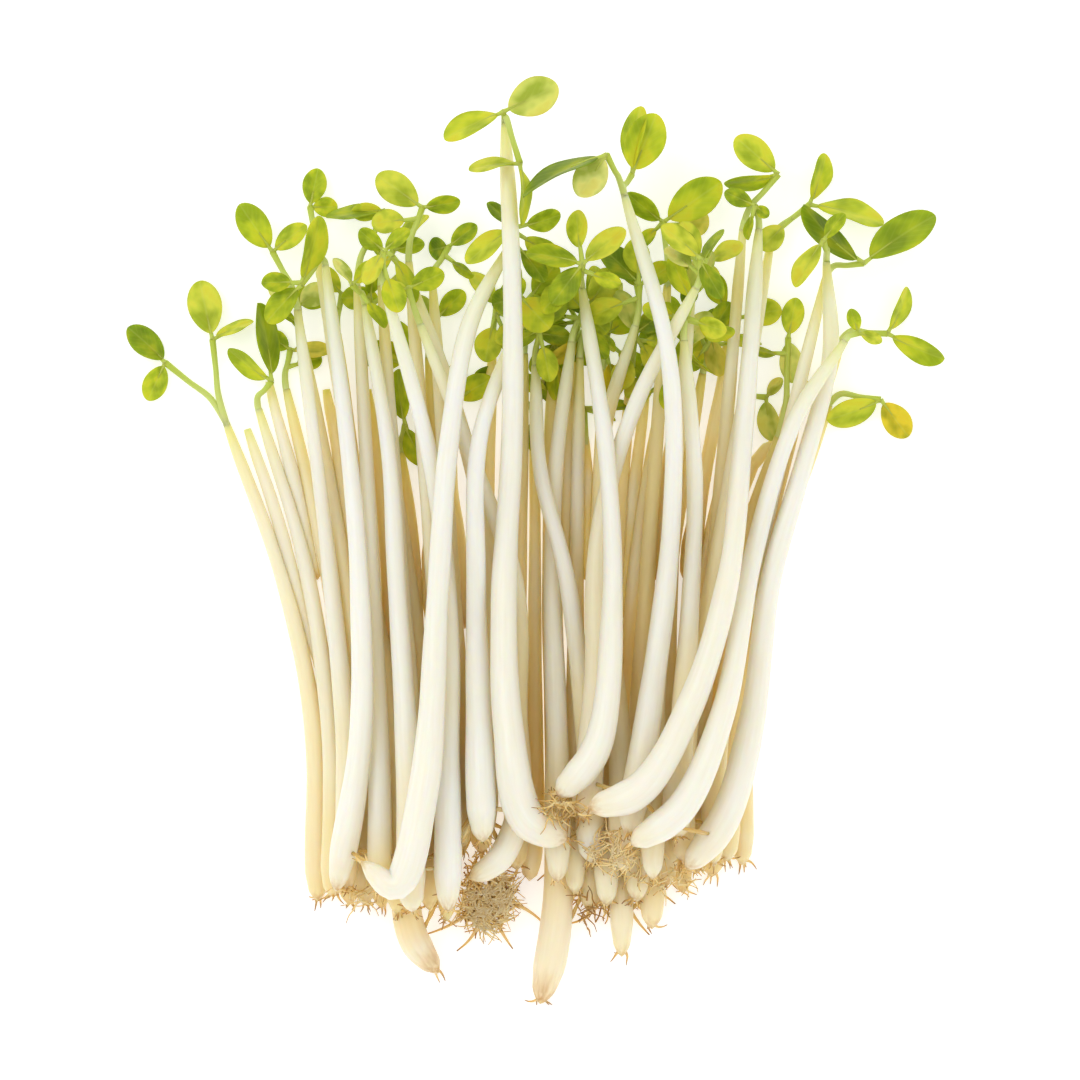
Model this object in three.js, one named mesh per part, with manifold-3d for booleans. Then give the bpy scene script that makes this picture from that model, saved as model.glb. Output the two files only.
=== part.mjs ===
// A clump of mung bean sprouts, pulled up with its roots matted together and laid on a table.
// Each sprout is a pale stem, thick at the root and thin at the neck, with a few small green leaflets.
// Millimetres, +Z up, +Y from the roots to the leaves. The origin is under the middle of the clump.
import * as THREE from 'three';
import { mergeVertices } from 'three/addons/utils/BufferGeometryUtils.js';
import Module from 'manifold-3d';

// How the sprouts lie on each other.
const CLEARANCE = 0.4; // air between neighbours
const STEM_BEND = 0.03; // sharpest bend of a stem in height, 1/mm
const STRAND_BEND = 0.15; // sharpest bend of a root strand or a leaf stalk in height, 1/mm
const BEND_PASSES = 60; // rounds of easing a run until it bends no sharper than that
const PINNED_SHARE = 0.25; // a stretch next to a pinned end is lifted as if this far along, or further
const BALL_STEP = 0.8; // distance between the balls that stand for a laid stem
const LEAF_SAG = 3; // most that a leaf sinks below the tip of its stem

// A stem, from the root end (0) to the neck (1), as shares of its greatest thickness.
const FANNED_THICKNESS = 3.4;
const STEM_SIDES = 6;
const STEM_RINGS = [0, 0.025, 0.07, 0.15, 0.27, 0.42, 0.6, 0.8, 1];
const STEM_PROFILE = [[0, 0.4], [0.022, 0.82], [0.06, 1], [0.13, 0.92], [0.26, 0.77], [0.5, 0.61], [1, 0.42]];

// The root strands that tie the stems of a tuft together, just above their root ends.
const STRAND_RADIUS = 0.85;
const STRAND_SIDES = 3;
const STRAND_STEP = 2.5;
const STRAND_RING = 2; // the stem ring that a strand runs through

// A leaf stalk: it leaves the neck in the stem's own line and bends to the fork.
const STALK_RADIUS = 0.5;
const JOINT_RADIUS = 0.75; // the stalk swells where the leaflets leave it
const STALK_SIDES = 4;
const STALK_STEPS = 3;
const STALK_EASE = 0.4; // how far it keeps its direction at both ends, of its length
const NECK_LENGTH = 3; // it may touch its own stem this far from the neck

// A leaflet, as wide as the photographed ones, and thick enough to be a sound solid.
const BLADE_THICKNESS = 0.62;
const BLADE_SHARE = 0.9; // share of the way from the fork to the leaflet's tip
const BLADE_LEAST_WIDTH = 0.6; // of its length
const BLADE_LIFT = [-0.1, 0.25]; // how steeply it falls or rises
const BLADE_CUP = 0.09; // how far the midrib lies below the rim, of the width
const BLADE_DROOP = 0.08; // how far the tip hangs below the fork's level, of the length
const BLADE_OUTLINE = [[-0.14, 0.14], [0.08, 0.46], [0.44, 1], [0.81, 0.82], [1, 0]]; // along, half width
const BLADE_MIDRIB = [[0.3, 0], [0.72, 0]];
const BLADE_BALL = { rows: 9, columns: 5, from: -0.1, radius: 0.45 }; // what stands for it when laid

// The matted rootlets under the root ends: a low core with rootlets on all sides.
const MAT_SIDES = 9;
const MAT_PROFILE = [[0, 1], [0.6, 1.04], [1, 0.6]]; // share of the height, share of the reach
const MAT_LOBES = 3;
const MAT_WOBBLE = 0.12;
const MAT_BALL = { step: 1, depth: 0.7, radius: 0.8, spread: 1.1 }; // what stands for the core when laid
const ROOTLET_RADIUS = 0.5;
const ROOTLET_TAPER = 0.15; // thinner by this share at each step
const ROOTLET_STEPS = 3;
const ROOTLET_LENGTH = [3, 6.5];
const ROOTLET_SPREAD = 0.3; // how far its place strays, of the distance between two rootlets
const ROOTLET_TURN = 0.5; // how far it curls to either side, in radians a step, halved
const ROOTLET_START = 0.7; // where it leaves the core, of the reach
const ROOTLET_AXIS = 0.6; // least height of its middle, and how far outside its start it begins
const ROOTLET_RISE = 0.5;

const SAME_POINT = 1e-4; // corners closer than this are one
const SHORTEST_EDGE = 0.02; // joined solids lose edges shorter than this
const SEED = 7;
const RANDOM_FACTOR = 16807;
const RANDOM_LIMIT = 2147483647;
const COLOURS = { stem: 0xf2ede0, leaf: 0x9ab83a, root: 0xb98f52 };
const ROUGHNESS = { stem: 0.4, leaf: 0.5, root: 0.85 };

// One sprout: its greatest thickness, its stem in plan from root to neck, and its sprays of leaflets.
const sprout = (thickness, stem, ...sprays) => ({ thickness, stem, sprays });
// One spray: where its stalk ends, then each leaflet's tip and the width that it shows from above.
const spray = (fork, ...leaflets) => ({ fork, leaflets });

// A sprout in one of the lower layers: upright above the roots, then fanned out to where its leaves are.
function fanned(root, tip, ...sprays) {
  const at = (y, share) => [root[0] + (tip[0] - root[0]) * share, y];
  return sprout(FANNED_THICKNESS, [root, at(-26, 0.02), at(-3, 0.36), tip], ...sprays);
}

// The tufts, from the table up. Every point is in plan, in millimetres.
const tufts = {
  bottom_left: [
    sprout(3.6, [[-28, -44.6], [-28.6, -22], [-32.8, -3], [-39.5, 15.5]],
      spray([-47.3, 23.4], [-52, 28, 3.4], [-49.5, 18.6, 3.1]),
      spray([-41.3, 26.3], [-43, 33.8, 4.4], [-36.3, 29, 1.7])),
    fanned([-24, -45], [-32, 20], spray([-31.5, 25], [-26.3, 25, 2.2], [-34.5, 27, 2.6])),
    fanned([-20, -45.5], [-25.5, 27], spray([-25, 32], [-20.5, 31.5, 2.6], [-28, 35.5, 2.6])),
    sprout(4.4, [[-12.8, -53.6], [-16, -49], [-17, -42], [-16, -22], [-16, -3], [-17.5, 12]],
      spray([-17, 15.5], [-14.8, 10, 2.6], [-18.5, 22.5, 3])),
    fanned([-11.7, -47], [-14, 24], spray([-13, 29], [-9.5, 32.5, 2.8], [-16.5, 31.5, 2.8])),
    fanned([-7.4, -38.5], [-6, 26], spray([-5.5, 30.5], [-2, 34, 2.8], [-8.5, 35, 2.6])),
  ],
  bottom_right: [
    sprout(4.4, [[0, -57.5], [1.4, -51.5], [2.2, -45], [2.2, -30], [1.6, -10], [1.5, 22]],
      spray([2, 26], [5.5, 24, 2.8], [-1, 22, 2.6])),
    fanned([6.5, -46], [8, 22.5], spray([8.5, 27], [12, 29.5, 3], [5.5, 31, 3])),
    fanned([10.3, -51.5], [15, 18], spray([15.5, 23], [18.5, 19.5, 2.6], [13, 27.5, 3])),
    fanned([14.1, -48], [20.5, 22], spray([21.5, 27], [22.5, 21.5, 2.6], [24, 31, 2.6])),
    fanned([17.9, -43.5], [25.5, 18.5], spray([28.5, 19], [30.5, 21.5, 1.6], [29, 13.5, 2.8])),
    fanned([21.7, -41.5], [30, 14], spray([31.3, 26.5], [32.3, 31.6, 2.9], [32, 20.8, 3.1])),
    fanned([25.5, -40], [36.5, 18], spray([43, 18.7], [46.5, 14, 3.6], [36.5, 15.6, 3.4])),
  ],
  lower_left: [
    fanned([-26, -44], [-35.5, 17.5], spray([-33.8, 21], [-39.6, 24.6, 2.5], [-34.5, 31, 3])),
    fanned([-22, -45], [-29.5, 24.5], spray([-30.5, 30.5], [-34, 34, 3.2], [-27, 33, 3])),
    fanned([-18, -46], [-28, 37], spray([-29, 43], [-28, 47.8, 3.1], [-25.5, 43, 2.6])),
    fanned([-13.9, -45.5], [-21.5, 27], spray([-21.5, 31.5], [-20.5, 36.5, 2.4], [-25, 31.5, 3])),
    fanned([-9.8, -38], [-13.5, 33], spray([-11.5, 38], [-8, 40.8, 2.4], [-14, 37.5, 3.1])),
    fanned([-3, -40.5], [-2, 24.5], spray([-1, 29], [3, 31.5, 3.2], [-4.5, 32, 2.8])),
  ],
  lower_right: [
    fanned([4.4, -43.5], [5, 24], spray([6, 29], [9.5, 33, 3], [3, 34, 3.2])),
    fanned([8.4, -45], [11.5, 22], spray([12, 27], [16, 30, 3], [10, 32.5, 2.8])),
    fanned([12.2, -44.5], [16, 33], spray([15.5, 41], [10.8, 44.5, 2.8], [22.7, 46, 4.8])),
    fanned([16, -42.5], [17.5, 20], spray([18, 25.5], [21.5, 29.5, 3], [16, 31, 2.6])),
    fanned([19.8, -41], [25.5, 40], spray([30, 47], [24.6, 51.7, 3.9], [23.5, 44.8, 2])),
    fanned([23.6, -39.5], [38, 26], spray([43.8, 27], [47.2, 32.5, 2], [50.7, 23.2, 2.7])),
  ],
  upper_left: [
    fanned([-24.2, -43], [-30.5, 30], spray([-33.7, 37.3], [-37.8, 43.2, 3.9], [-29.6, 40.8, 2.8])),
    fanned([-20.1, -43.5], [-23, 33], spray([-19.5, 42.5], [-27, 42, 2.2], [-23.8, 42.2, 2.4])),
    fanned([-16, -45], [-20, 33], spray([-18.5, 37.5], [-14.5, 38.5, 2.2], [-14.7, 42.5, 1.8])),
    fanned([-11.7, -43.5], [-16.5, 36], spray([-14.8, 42.8], [-20.6, 47, 4], [-10, 43.5, 2.4])),
    sprout(3.8, [[-7.2, -36.5], [-7.2, -24], [-6, -4], [-9, 12], [-16, 33]],
      spray([-18.5, 36.5], [-15, 31, 2.4], [-21, 35, 1.8])),
    sprout(3.6, [[-8.8, -41.6], [-5, -38.8], [-2.7, -33], [-2.8, -22], [-3, -5], [-8, 10], [-15, 28]],
      spray([-16.5, 32.5], [-12, 34.5, 3], [-19, 32, 2.4])),
  ],
  upper_right: [
    sprout(3.8, [[2.2, -42], [2.2, -26], [1.6, -6], [2, 10], [4, 26]],
      spray([5.5, 30], [2, 33.5, 3.6], [8.5, 27, 2.8])),
    sprout(3.8, [[6.5, -39.5], [6, -26], [3.4, -4], [0, 10], [-0.6, 23]],
      spray([0, 27.5], [-3.5, 25.5, 2], [3.5, 32, 2.6])),
    sprout(3.8, [[10.3, -40.5], [10, -24], [8, -2], [8, 14], [12, 28]],
      spray([12.5, 33], [8, 38, 3.2], [16.5, 35.5, 3])),
    fanned([14.1, -41.5], [19, 32], spray([20, 36], [22.3, 33, 2.4], [17.8, 41, 3])),
    fanned([17.9, -39.5], [29, 38], spray([34, 43.3], [36.6, 49.5, 2.2], [43.5, 41.8, 2.6])),
    fanned([21.8, -40], [36, 34], spray([40.7, 35.8], [32, 41.6, 2.8], [49.2, 42.5, 4.6])),
    sprout(3.8, [[17, -36.5], [17.5, -26], [18.8, -8], [19.4, 8], [18, 26]],
      spray([19, 31], [21, 37.5, 3], [16, 36.5, 2.6])),
  ],
  front_left: [
    sprout(4.0, [[-25.5, -43], [-22.5, -24], [-22.8, -2], [-24.5, 16], [-27, 35.5]],
      spray([-30, 33], [-34.5, 28.5, 3.2], [-27, 41.5, 2.6])),
    sprout(4.0, [[-16, -45.5], [-16.5, -28], [-18, -4], [-19, 12], [-22, 30.5]],
      spray([-23.5, 33], [-25.5, 36.5, 1.6], [-20.5, 36, 2.2])),
    sprout(4.0, [[-11.5, -45.5], [-11.5, -28], [-11.5, -8], [-13.5, 10], [-19.5, 33]],
      spray([-19.5, 37], [-22, 33, 2.4], [-16.5, 40, 2])),
    sprout(4.2, [[-7.2, -36.8], [-7.5, -26], [-8, -4], [-7.5, 14], [-2.3, 28.5]],
      spray([-2.5, 31.5], [-6, 30.5, 3.4], [1.2, 27.5, 4.4])),
    sprout(4.6, [[-22.3, -39], [-18, -42], [-14.5, -30], [-12.8, -6], [-11.5, 12], [-8.8, 28], [-4, 37.5]],
      spray([-3.5, 40], [-6.2, 43.5, 1.8], [-9.5, 36, 3])),
    sprout(4.6, [[3.5, -36.5], [-1.5, -34], [-4, -22], [-4.5, -6], [-3.5, 14], [-3.5, 34], [-4.4, 53]],
      spray([-4.6, 54.5], [-12.2, 51.4, 2.7], [2.2, 57.8, 4.9]),
      spray([-2.5, 48], [-9, 48, 1.2], [-1, 40.5, 1.6])),
  ],
  front_right: [
    sprout(4.0, [[5.5, -34], [7, -18], [7.5, 2], [12, 18], [19.5, 32.5]],
      spray([20, 36], [22.5, 31, 2.6], [15.5, 40.5, 3])),
    sprout(4.0, [[11, -36], [14, -18], [16.5, 4], [16, 24], [10.6, 44]],
      spray([11.5, 46.8], [14.6, 54.4, 5], [12, 55.5, 2.4]),
      spray([8.3, 49], [4.8, 44, 4.2], [-2.8, 45.8, 2.3])),
    sprout(4.4, [[18.3, -40.2], [23, -34], [26.5, -22], [29, -4], [33, 10], [36.5, 24], [36, 36]],
      spray([35.5, 38.5], [31.5, 33, 2.6], [38, 42, 2])),
    sprout(4.4, [[11.3, -37], [17.5, -32.5], [23, -20], [26.5, -2], [32, 16], [38.3, 26]],
      spray([40, 27], [39, 30, 1.8], [43, 26, 1.6])),
    sprout(4.6, [[6, -32.5], [12.5, -30], [19, -19], [23.5, -4], [25.3, 12], [27.5, 40]],
      spray([27, 43], [23.2, 44.7, 2.3], [28.7, 41.6, 1.6])),
    sprout(4.2, [[2.2, -31], [7, -25], [9, -8], [8.5, 10], [5.3, 32.5]],
      spray([5.3, 35.5], [10.5, 40, 3.2], [-1.5, 37.5, 3], [1.5, 30.5, 3.4])),
  ],
};

// Where the mats of rootlets lie, with the half width, half length and height of each one's flat core.
const mats = {
  root_mat_left: { centre: [-6.7, -43.6], reach: [3.3, 4.8], height: 3.2, rootlets: 7 },
  root_mat_right: { centre: [9, -42], reach: [5.5, 4.2], height: 1.5, rootlets: 7 },
};

const wasm = await Module();
wasm.setup();

// A small random generator with a fixed start, so that every run lays the same clump.
let randomState = SEED;
function random(low, high) {
  randomState = (randomState * RANDOM_FACTOR) % RANDOM_LIMIT;
  return low + ((high - low) * randomState) / RANDOM_LIMIT;
}

// The value of a profile, which is straight between its points, at a place along it.
function valueAt(profile, along) {
  const next = Math.max(1, profile.findIndex(([at]) => at >= along));
  const [[from, low], [to, high]] = [profile[next - 1], profile[next]];
  return low + ((high - low) * (along - from)) / (to - from);
}

// Balls that stand for everything laid so far: x, y, z, radius, the tuft and the sprout.
const laid = [];

function restHeight(x, y, radius, ignore) {
  let height = radius;
  for (const ball of laid) {
    if (ignore(ball)) continue;
    const reach = radius + ball.radius + CLEARANCE;
    const gap = reach * reach - (x - ball.x) ** 2 - (y - ball.y) ** 2;
    if (gap > 0) height = Math.max(height, ball.z + Math.sqrt(gap));
  }
  return height;
}

// Points every BALL_STEP along a run of rings, with the ring before each and the share of the way on.
function samplesAlong(rings) {
  const samples = [];
  for (let i = 0; i < rings.length - 1; i++) {
    const [a, b] = [rings[i], rings[i + 1]];
    const count = Math.max(1, Math.ceil(Math.hypot(b.x - a.x, b.y - a.y, b.z - a.z) / BALL_STEP));
    for (let k = 0; k <= count; k++) {
      const t = k / count;
      const mix = (key) => a[key] + (b[key] - a[key]) * t;
      samples.push({ ring: i, t, x: mix('x'), y: mix('y'), z: mix('z'), radius: mix('radius') });
    }
  }
  return samples;
}

// Raises the rings until the run clears what is laid and bends no sharper than it can.
function layRun(rings, bend, ignore, pinned = []) {
  const held = (i) => pinned.includes(i);
  const along = [0];
  for (let i = 1; i < rings.length; i++) {
    along.push(along[i - 1] + Math.hypot(rings[i].x - rings[i - 1].x, rings[i].y - rings[i - 1].y));
  }
  const samples = samplesAlong(rings);
  for (const s of samples) {
    s.at = along[s.ring] + (along[s.ring + 1] - along[s.ring]) * s.t;
    s.need = restHeight(s.x, s.y, s.radius, (ball) => ignore(ball, s.at));
  }
  for (let i = 0; i < rings.length; i++) {
    const arch = (s) => s.need - (bend / 2) * (s.at - along[i]) ** 2;
    if (!held(i)) rings[i].z = Math.max(rings[i].z, ...samples.map(arch));
  }
  for (let pass = 0; pass < BEND_PASSES; pass++) {
    for (let i = 1; i < rings.length - 1; i++) {
      const [before, after] = [along[i] - along[i - 1], along[i + 1] - along[i]];
      const chord = (rings[i - 1].z * after + rings[i + 1].z * before) / (before + after);
      rings[i].z = Math.max(rings[i].z, chord - (bend / 2) * before * after);
    }
  }
  for (const s of samples) {
    const [a, b] = [rings[s.ring], rings[s.ring + 1]];
    const short = s.need - (a.z + (b.z - a.z) * s.t);
    if (short <= 0) continue;
    if (!held(s.ring)) a.z += held(s.ring + 1) ? short / Math.max(1 - s.t, PINNED_SHARE) : short;
    if (!held(s.ring + 1)) b.z += held(s.ring) ? short / Math.max(s.t, PINNED_SHARE) : short;
  }
}

function stamp(rings, tuft, owner) {
  for (const s of samplesAlong(rings)) {
    laid.push({ x: s.x, y: s.y, z: s.z, radius: s.radius, tuft, owner });
  }
}

// A closed tube through the rings, its flats level at the top and the bottom.
function tube(rings, sides) {
  const points = rings.map((ring) => new THREE.Vector3(ring.x, ring.y, ring.z));
  const positions = [];
  const index = [];
  points.forEach((point, i) => {
    const ahead = points[Math.min(i + 1, points.length - 1)];
    const tangent = ahead.clone().sub(points[Math.max(i - 1, 0)]).normalize();
    const side = new THREE.Vector3(tangent.y, -tangent.x, 0).normalize();
    const up = new THREE.Vector3().crossVectors(side, tangent);
    for (let k = 0; k < sides; k++) {
      const angle = ((k + 0.5) / sides) * 2 * Math.PI + Math.PI / 2;
      const corner = point.clone();
      corner.addScaledVector(side, Math.cos(angle) * rings[i].radius);
      corner.addScaledVector(up, Math.sin(angle) * rings[i].radius);
      positions.push(...corner.toArray());
    }
  });
  for (let i = 0; i < points.length - 1; i++) {
    for (let k = 0; k < sides; k++) {
      const [a, b] = [i * sides + k, i * sides + ((k + 1) % sides)];
      index.push(a, b + sides, b, a, a + sides, b + sides);
    }
  }
  const last = (points.length - 1) * sides;
  for (let k = 1; k < sides - 1; k++) {
    index.push(0, k, k + 1, last, last + k + 1, last + k);
  }
  return closedGeometry(positions, index);
}

function closedGeometry(positions, index) {
  const geometry = new THREE.BufferGeometry();
  geometry.setAttribute('position', new THREE.Float32BufferAttribute(positions, 3));
  geometry.setIndex(index);
  return geometry;
}

function solid(geometry) {
  const merged = mergeVertices(geometry, SAME_POINT);
  return new wasm.Manifold(new wasm.Mesh({
    numProp: 3,
    vertProperties: merged.attributes.position.array,
    triVerts: new Uint32Array(merged.index.array),
  }));
}

function joined(geometries) {
  const whole = geometries.map(solid).reduce((sum, next) => sum.add(next));
  const mesh = whole.simplify(SHORTEST_EDGE).getMesh();
  return closedGeometry(Array.from(mesh.vertProperties), Array.from(mesh.triVerts));
}

function namedMesh(name, geometry, finish) {
  geometry.computeVertexNormals();
  const material = new THREE.MeshStandardMaterial({
    color: COLOURS[finish],
    roughness: ROUGHNESS[finish],
    metalness: 0,
  });
  const mesh = new THREE.Mesh(geometry, material);
  mesh.name = name;
  return mesh;
}

function stemRings({ thickness, stem }) {
  const curve = new THREE.CatmullRomCurve3(stem.map(([x, y]) => new THREE.Vector3(x, y, 0)));
  return STEM_RINGS.map((u) => {
    const point = curve.getPointAt(u);
    const radius = (valueAt(STEM_PROFILE, u) * thickness) / 2;
    return { x: point.x, y: point.y, z: radius, radius };
  });
}

// A root strand from one stem of a tuft to the next, sunk in both.
function strandRings(from, to) {
  const [a, b] = [from[STRAND_RING], to[STRAND_RING]];
  const steps = Math.max(2, Math.round(Math.hypot(b.x - a.x, b.y - a.y) / STRAND_STEP));
  const rings = [];
  for (let i = 0; i <= steps; i++) {
    const mix = (key) => a[key] + ((b[key] - a[key]) * i) / steps;
    rings.push({ x: mix('x'), y: mix('y'), z: mix('z'), radius: STRAND_RADIUS });
  }
  return rings;
}

// A leaflet's axis, its side and its face, turned about the axis until it shows the given width.
function leafletFrame(fork, [x, y, shown]) {
  const reach = Math.hypot(x - fork[0], y - fork[1]);
  const length = reach * BLADE_SHARE;
  const width = Math.max(shown, length * BLADE_LEAST_WIDTH);
  const lift = random(...BLADE_LIFT);
  const roll = Math.acos(shown / width) * (random(0, 1) < 0.5 ? -1 : 1);
  const axis = new THREE.Vector3((x - fork[0]) / reach, (y - fork[1]) / reach, lift).normalize();
  const level = new THREE.Vector3(axis.y, -axis.x, 0).normalize();
  const side = level.applyAxisAngle(axis, roll);
  const face = new THREE.Vector3().crossVectors(side, axis);
  return { length, width, axis, side, face, start: reach - length };
}

// A point of the blade: a cupped and slightly drooping surface, raised by half the thickness or sunk.
function bladePoint(frame, origin, along, across, rise) {
  const cup = BLADE_CUP * frame.width * Math.abs(across);
  const droop = -BLADE_DROOP * frame.length * (along - BLADE_OUTLINE[0][0]) ** 2;
  const point = origin.clone();
  point.addScaledVector(frame.axis, frame.start + frame.length * along);
  point.addScaledVector(frame.side, (frame.width / 2) * across);
  point.addScaledVector(frame.face, cup + droop + rise);
  return point;
}

// The blade: the same triangles on both faces, from the outline to two points of the midrib, and a rim.
function blade(frame, origin) {
  const back = BLADE_OUTLINE.slice(0, -1).reverse().map(([along, across]) => [along, -across]);
  const outline = [...BLADE_OUTLINE, ...back];
  const flat = [...outline, ...BLADE_MIDRIB];
  const positions = [];
  for (const rise of [BLADE_THICKNESS / 2, -BLADE_THICKNESS / 2]) {
    for (const [along, across] of flat) {
      positions.push(...bladePoint(frame, origin, along, across, rise).toArray());
    }
  }
  const [low, high] = [outline.length, outline.length + 1];
  const faces = [
    [0, 1, 8], [1, 7, 8], [1, 2, low], [2, high, low], [2, 3, high], [3, 4, high],
    [4, 5, high], [5, 6, high], [6, low, high], [6, 7, low], [7, 1, low],
  ];
  const index = [];
  for (const [a, b, c] of faces) {
    index.push(a, b, c, a + flat.length, c + flat.length, b + flat.length);
  }
  for (let i = 0; i < outline.length; i++) {
    const j = (i + 1) % outline.length;
    index.push(i, i + flat.length, j + flat.length, i, j + flat.length, j);
  }
  return closedGeometry(positions, index);
}

// Balls over the blade, for laying it clear of what is under it.
function bladeBalls(frame, origin) {
  const { rows, columns, from, radius } = BLADE_BALL;
  const balls = [];
  for (let row = 0; row < rows; row++) {
    const along = from + ((1 - from) * row) / (rows - 1);
    for (let column = 0; column < columns; column++) {
      const across = ((2 * column) / (columns - 1) - 1) * valueAt(BLADE_OUTLINE, Math.min(along, 1));
      const point = bladePoint(frame, origin, along, across, 0);
      balls.push({ x: point.x, y: point.y, z: point.z, radius });
    }
  }
  return balls;
}

// A spray on its stalk: the stalk leaves the neck in the stem's line and bends to the fork.
function sprayGeometries(tip, heading, { fork, leaflets }, tuft, owner) {
  const frames = leaflets.map((leaflet) => leafletFrame(fork, leaflet));
  const origin = new THREE.Vector3(fork[0], fork[1], tip.z);
  const clear = () => false;
  const balls = frames.flatMap((frame) => bladeBalls(frame, origin));
  const shortfalls = balls.map((ball) => restHeight(ball.x, ball.y, ball.radius, clear) - ball.z);
  origin.z += Math.max(-LEAF_SAG, ...shortfalls);
  const start = new THREE.Vector3(tip.x, tip.y, tip.z).addScaledVector(heading, CLEARANCE);
  const way = start.distanceTo(origin) * STALK_EASE;
  const outward = new THREE.Vector3(fork[0] - tip.x, fork[1] - tip.y, 0).normalize();
  const curve = new THREE.CubicBezierCurve3(
    start,
    start.clone().addScaledVector(heading, way),
    origin.clone().addScaledVector(outward, -way),
    origin,
  );
  const stalk = curve.getPoints(STALK_STEPS).map(({ x, y, z }) => ({ x, y, z, radius: STALK_RADIUS }));
  stalk.at(-1).radius = JOINT_RADIUS;
  layRun(stalk, STRAND_BEND, (ball, at) => ball.owner === owner && at < NECK_LENGTH, [0]);
  origin.z = stalk.at(-1).z;
  stamp(stalk, tuft, owner);
  for (const frame of frames) {
    laid.push(...bladeBalls(frame, origin).map((ball) => ({ ...ball, tuft, owner })));
  }
  return [
    tube(stalk, STALK_SIDES),
    ...frames.map((frame) => blade(frame, origin)),
  ];
}

// The core of a mat: low, with a flat underside and a few lobes.
function matCore({ centre, reach, height }) {
  const positions = [];
  const index = [];
  for (const [rise, share] of MAT_PROFILE) {
    for (let k = 0; k < MAT_SIDES; k++) {
      const angle = (k / MAT_SIDES) * 2 * Math.PI;
      const wobble = share * (1 + MAT_WOBBLE * Math.sin(MAT_LOBES * angle + reach[0]));
      positions.push(centre[0] + reach[0] * wobble * Math.cos(angle));
      positions.push(centre[1] + reach[1] * wobble * Math.sin(angle), rise * height);
    }
  }
  for (const row of [0, MAT_SIDES]) {
    for (let k = 0; k < MAT_SIDES; k++) {
      const [a, b] = [row + k, row + ((k + 1) % MAT_SIDES)];
      index.push(a, b, b + MAT_SIDES, a, b + MAT_SIDES, a + MAT_SIDES);
    }
  }
  const top = 2 * MAT_SIDES;
  for (let k = 1; k < MAT_SIDES - 1; k++) {
    index.push(0, k + 1, k, top, top + k, top + k + 1);
  }
  return closedGeometry(positions, index);
}

function rootletRings({ centre, reach, rootlets }, n) {
  const angle = ((n + random(-ROOTLET_SPREAD, ROOTLET_SPREAD)) / rootlets) * 2 * Math.PI;
  const length = random(...ROOTLET_LENGTH);
  const turn = random(-ROOTLET_TURN, ROOTLET_TURN);
  const rings = [];
  for (let step = 0; step <= ROOTLET_STEPS; step++) {
    const along = ROOTLET_AXIS + (length / ROOTLET_STEPS) * step;
    const bearing = angle + (turn * step) / 2;
    rings.push({
      x: centre[0] + reach[0] * ROOTLET_START * Math.cos(angle) + along * Math.cos(bearing),
      y: centre[1] + reach[1] * ROOTLET_START * Math.sin(angle) + along * Math.sin(bearing),
      z: ROOTLET_AXIS + random(0, ROOTLET_RISE),
      radius: ROOTLET_RADIUS * (1 - ROOTLET_TAPER * step),
    });
  }
  return rings;
}

// A mat: its core, and the rootlets that leave it on all sides.
function matGeometries(mat, owner) {
  const geometries = [matCore(mat)];
  for (let n = 0; n < mat.rootlets; n++) {
    const rings = rootletRings(mat, n);
    geometries.push(tube(rings, STRAND_SIDES));
    stamp(rings, owner, owner);
  }
  const { step, depth, radius, spread } = MAT_BALL;
  const { centre, reach, height } = mat;
  for (let x = -reach[0]; x <= reach[0]; x += step) {
    for (let y = -reach[1]; y <= reach[1]; y += step) {
      const inside = (x / reach[0]) ** 2 + (y / reach[1]) ** 2 < spread;
      const ball = { x: centre[0] + x, y: centre[1] + y, z: height - depth, radius };
      if (inside) laid.push({ ...ball, tuft: owner, owner });
    }
  }
  return geometries;
}

const clump = new THREE.Group();

for (const [name, mat] of Object.entries(mats)) {
  clump.add(namedMesh(name, joined(matGeometries(mat, name)), 'root'));
}

let count = 0;
for (const [name, sprouts] of Object.entries(tufts)) {
  const stems = [];
  for (const plant of sprouts) {
    count += 1;
    const owner = `leaves_${String(count).padStart(2, '0')}`;
    const rings = stemRings(plant);
    layRun(rings, STEM_BEND, () => false);
    stamp(rings, name, owner);
    stems.push(rings);
    const tip = rings.at(-1);
    const below = rings.at(-2);
    const heading = new THREE.Vector3(tip.x - below.x, tip.y - below.y, tip.z - below.z).normalize();
    const leafy = plant.sprays.flatMap((one) => sprayGeometries(tip, heading, one, name, owner));
    clump.add(namedMesh(owner, joined(leafy), 'leaf'));
  }
  const ordered = [...stems].sort((a, b) => a[STRAND_RING].x - b[STRAND_RING].x);
  const strands = ordered.slice(1).map((rings, i) => strandRings(ordered[i], rings));
  for (const strand of strands) {
    layRun(strand, STRAND_BEND, (ball) => ball.tuft === name, [0, strand.length - 1]);
    stamp(strand, name, name);
  }
  const tubes = [
    ...stems.map((rings) => tube(rings, STEM_SIDES)),
    ...strands.map((strand) => tube(strand, STRAND_SIDES)),
  ];
  clump.add(namedMesh(`stems_${name}`, joined(tubes), 'stem'));
}

// The clump stands with the middle of its underside at the origin.
const box = new THREE.Box3().setFromObject(clump);
const middle = box.getCenter(new THREE.Vector3());
clump.position.set(-middle.x, -middle.y, -box.min.z);
clump.updateMatrixWorld(true);

export default clump;
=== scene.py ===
# %% [markdown]
# # A clump of mung bean sprouts
#
# Fifty sprouts lie on a pale table, their roots matted together. Each is a soft white stem, thick at the
# root, that thins to a green stalk with a few small leaflets. The measured solids give every sprout its
# place. Here each one gets its real skin: round stems with fine streaks, thin veined blades and brown
# fibrous roots.
#
# The steps are: load the solids, lay the sprouts again by the rule that laid the solids, sweep the stems,
# grow the leaves, tangle the roots, and only then light the clump and look straight down on it.

# %% Load the measured solids
import math

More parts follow.
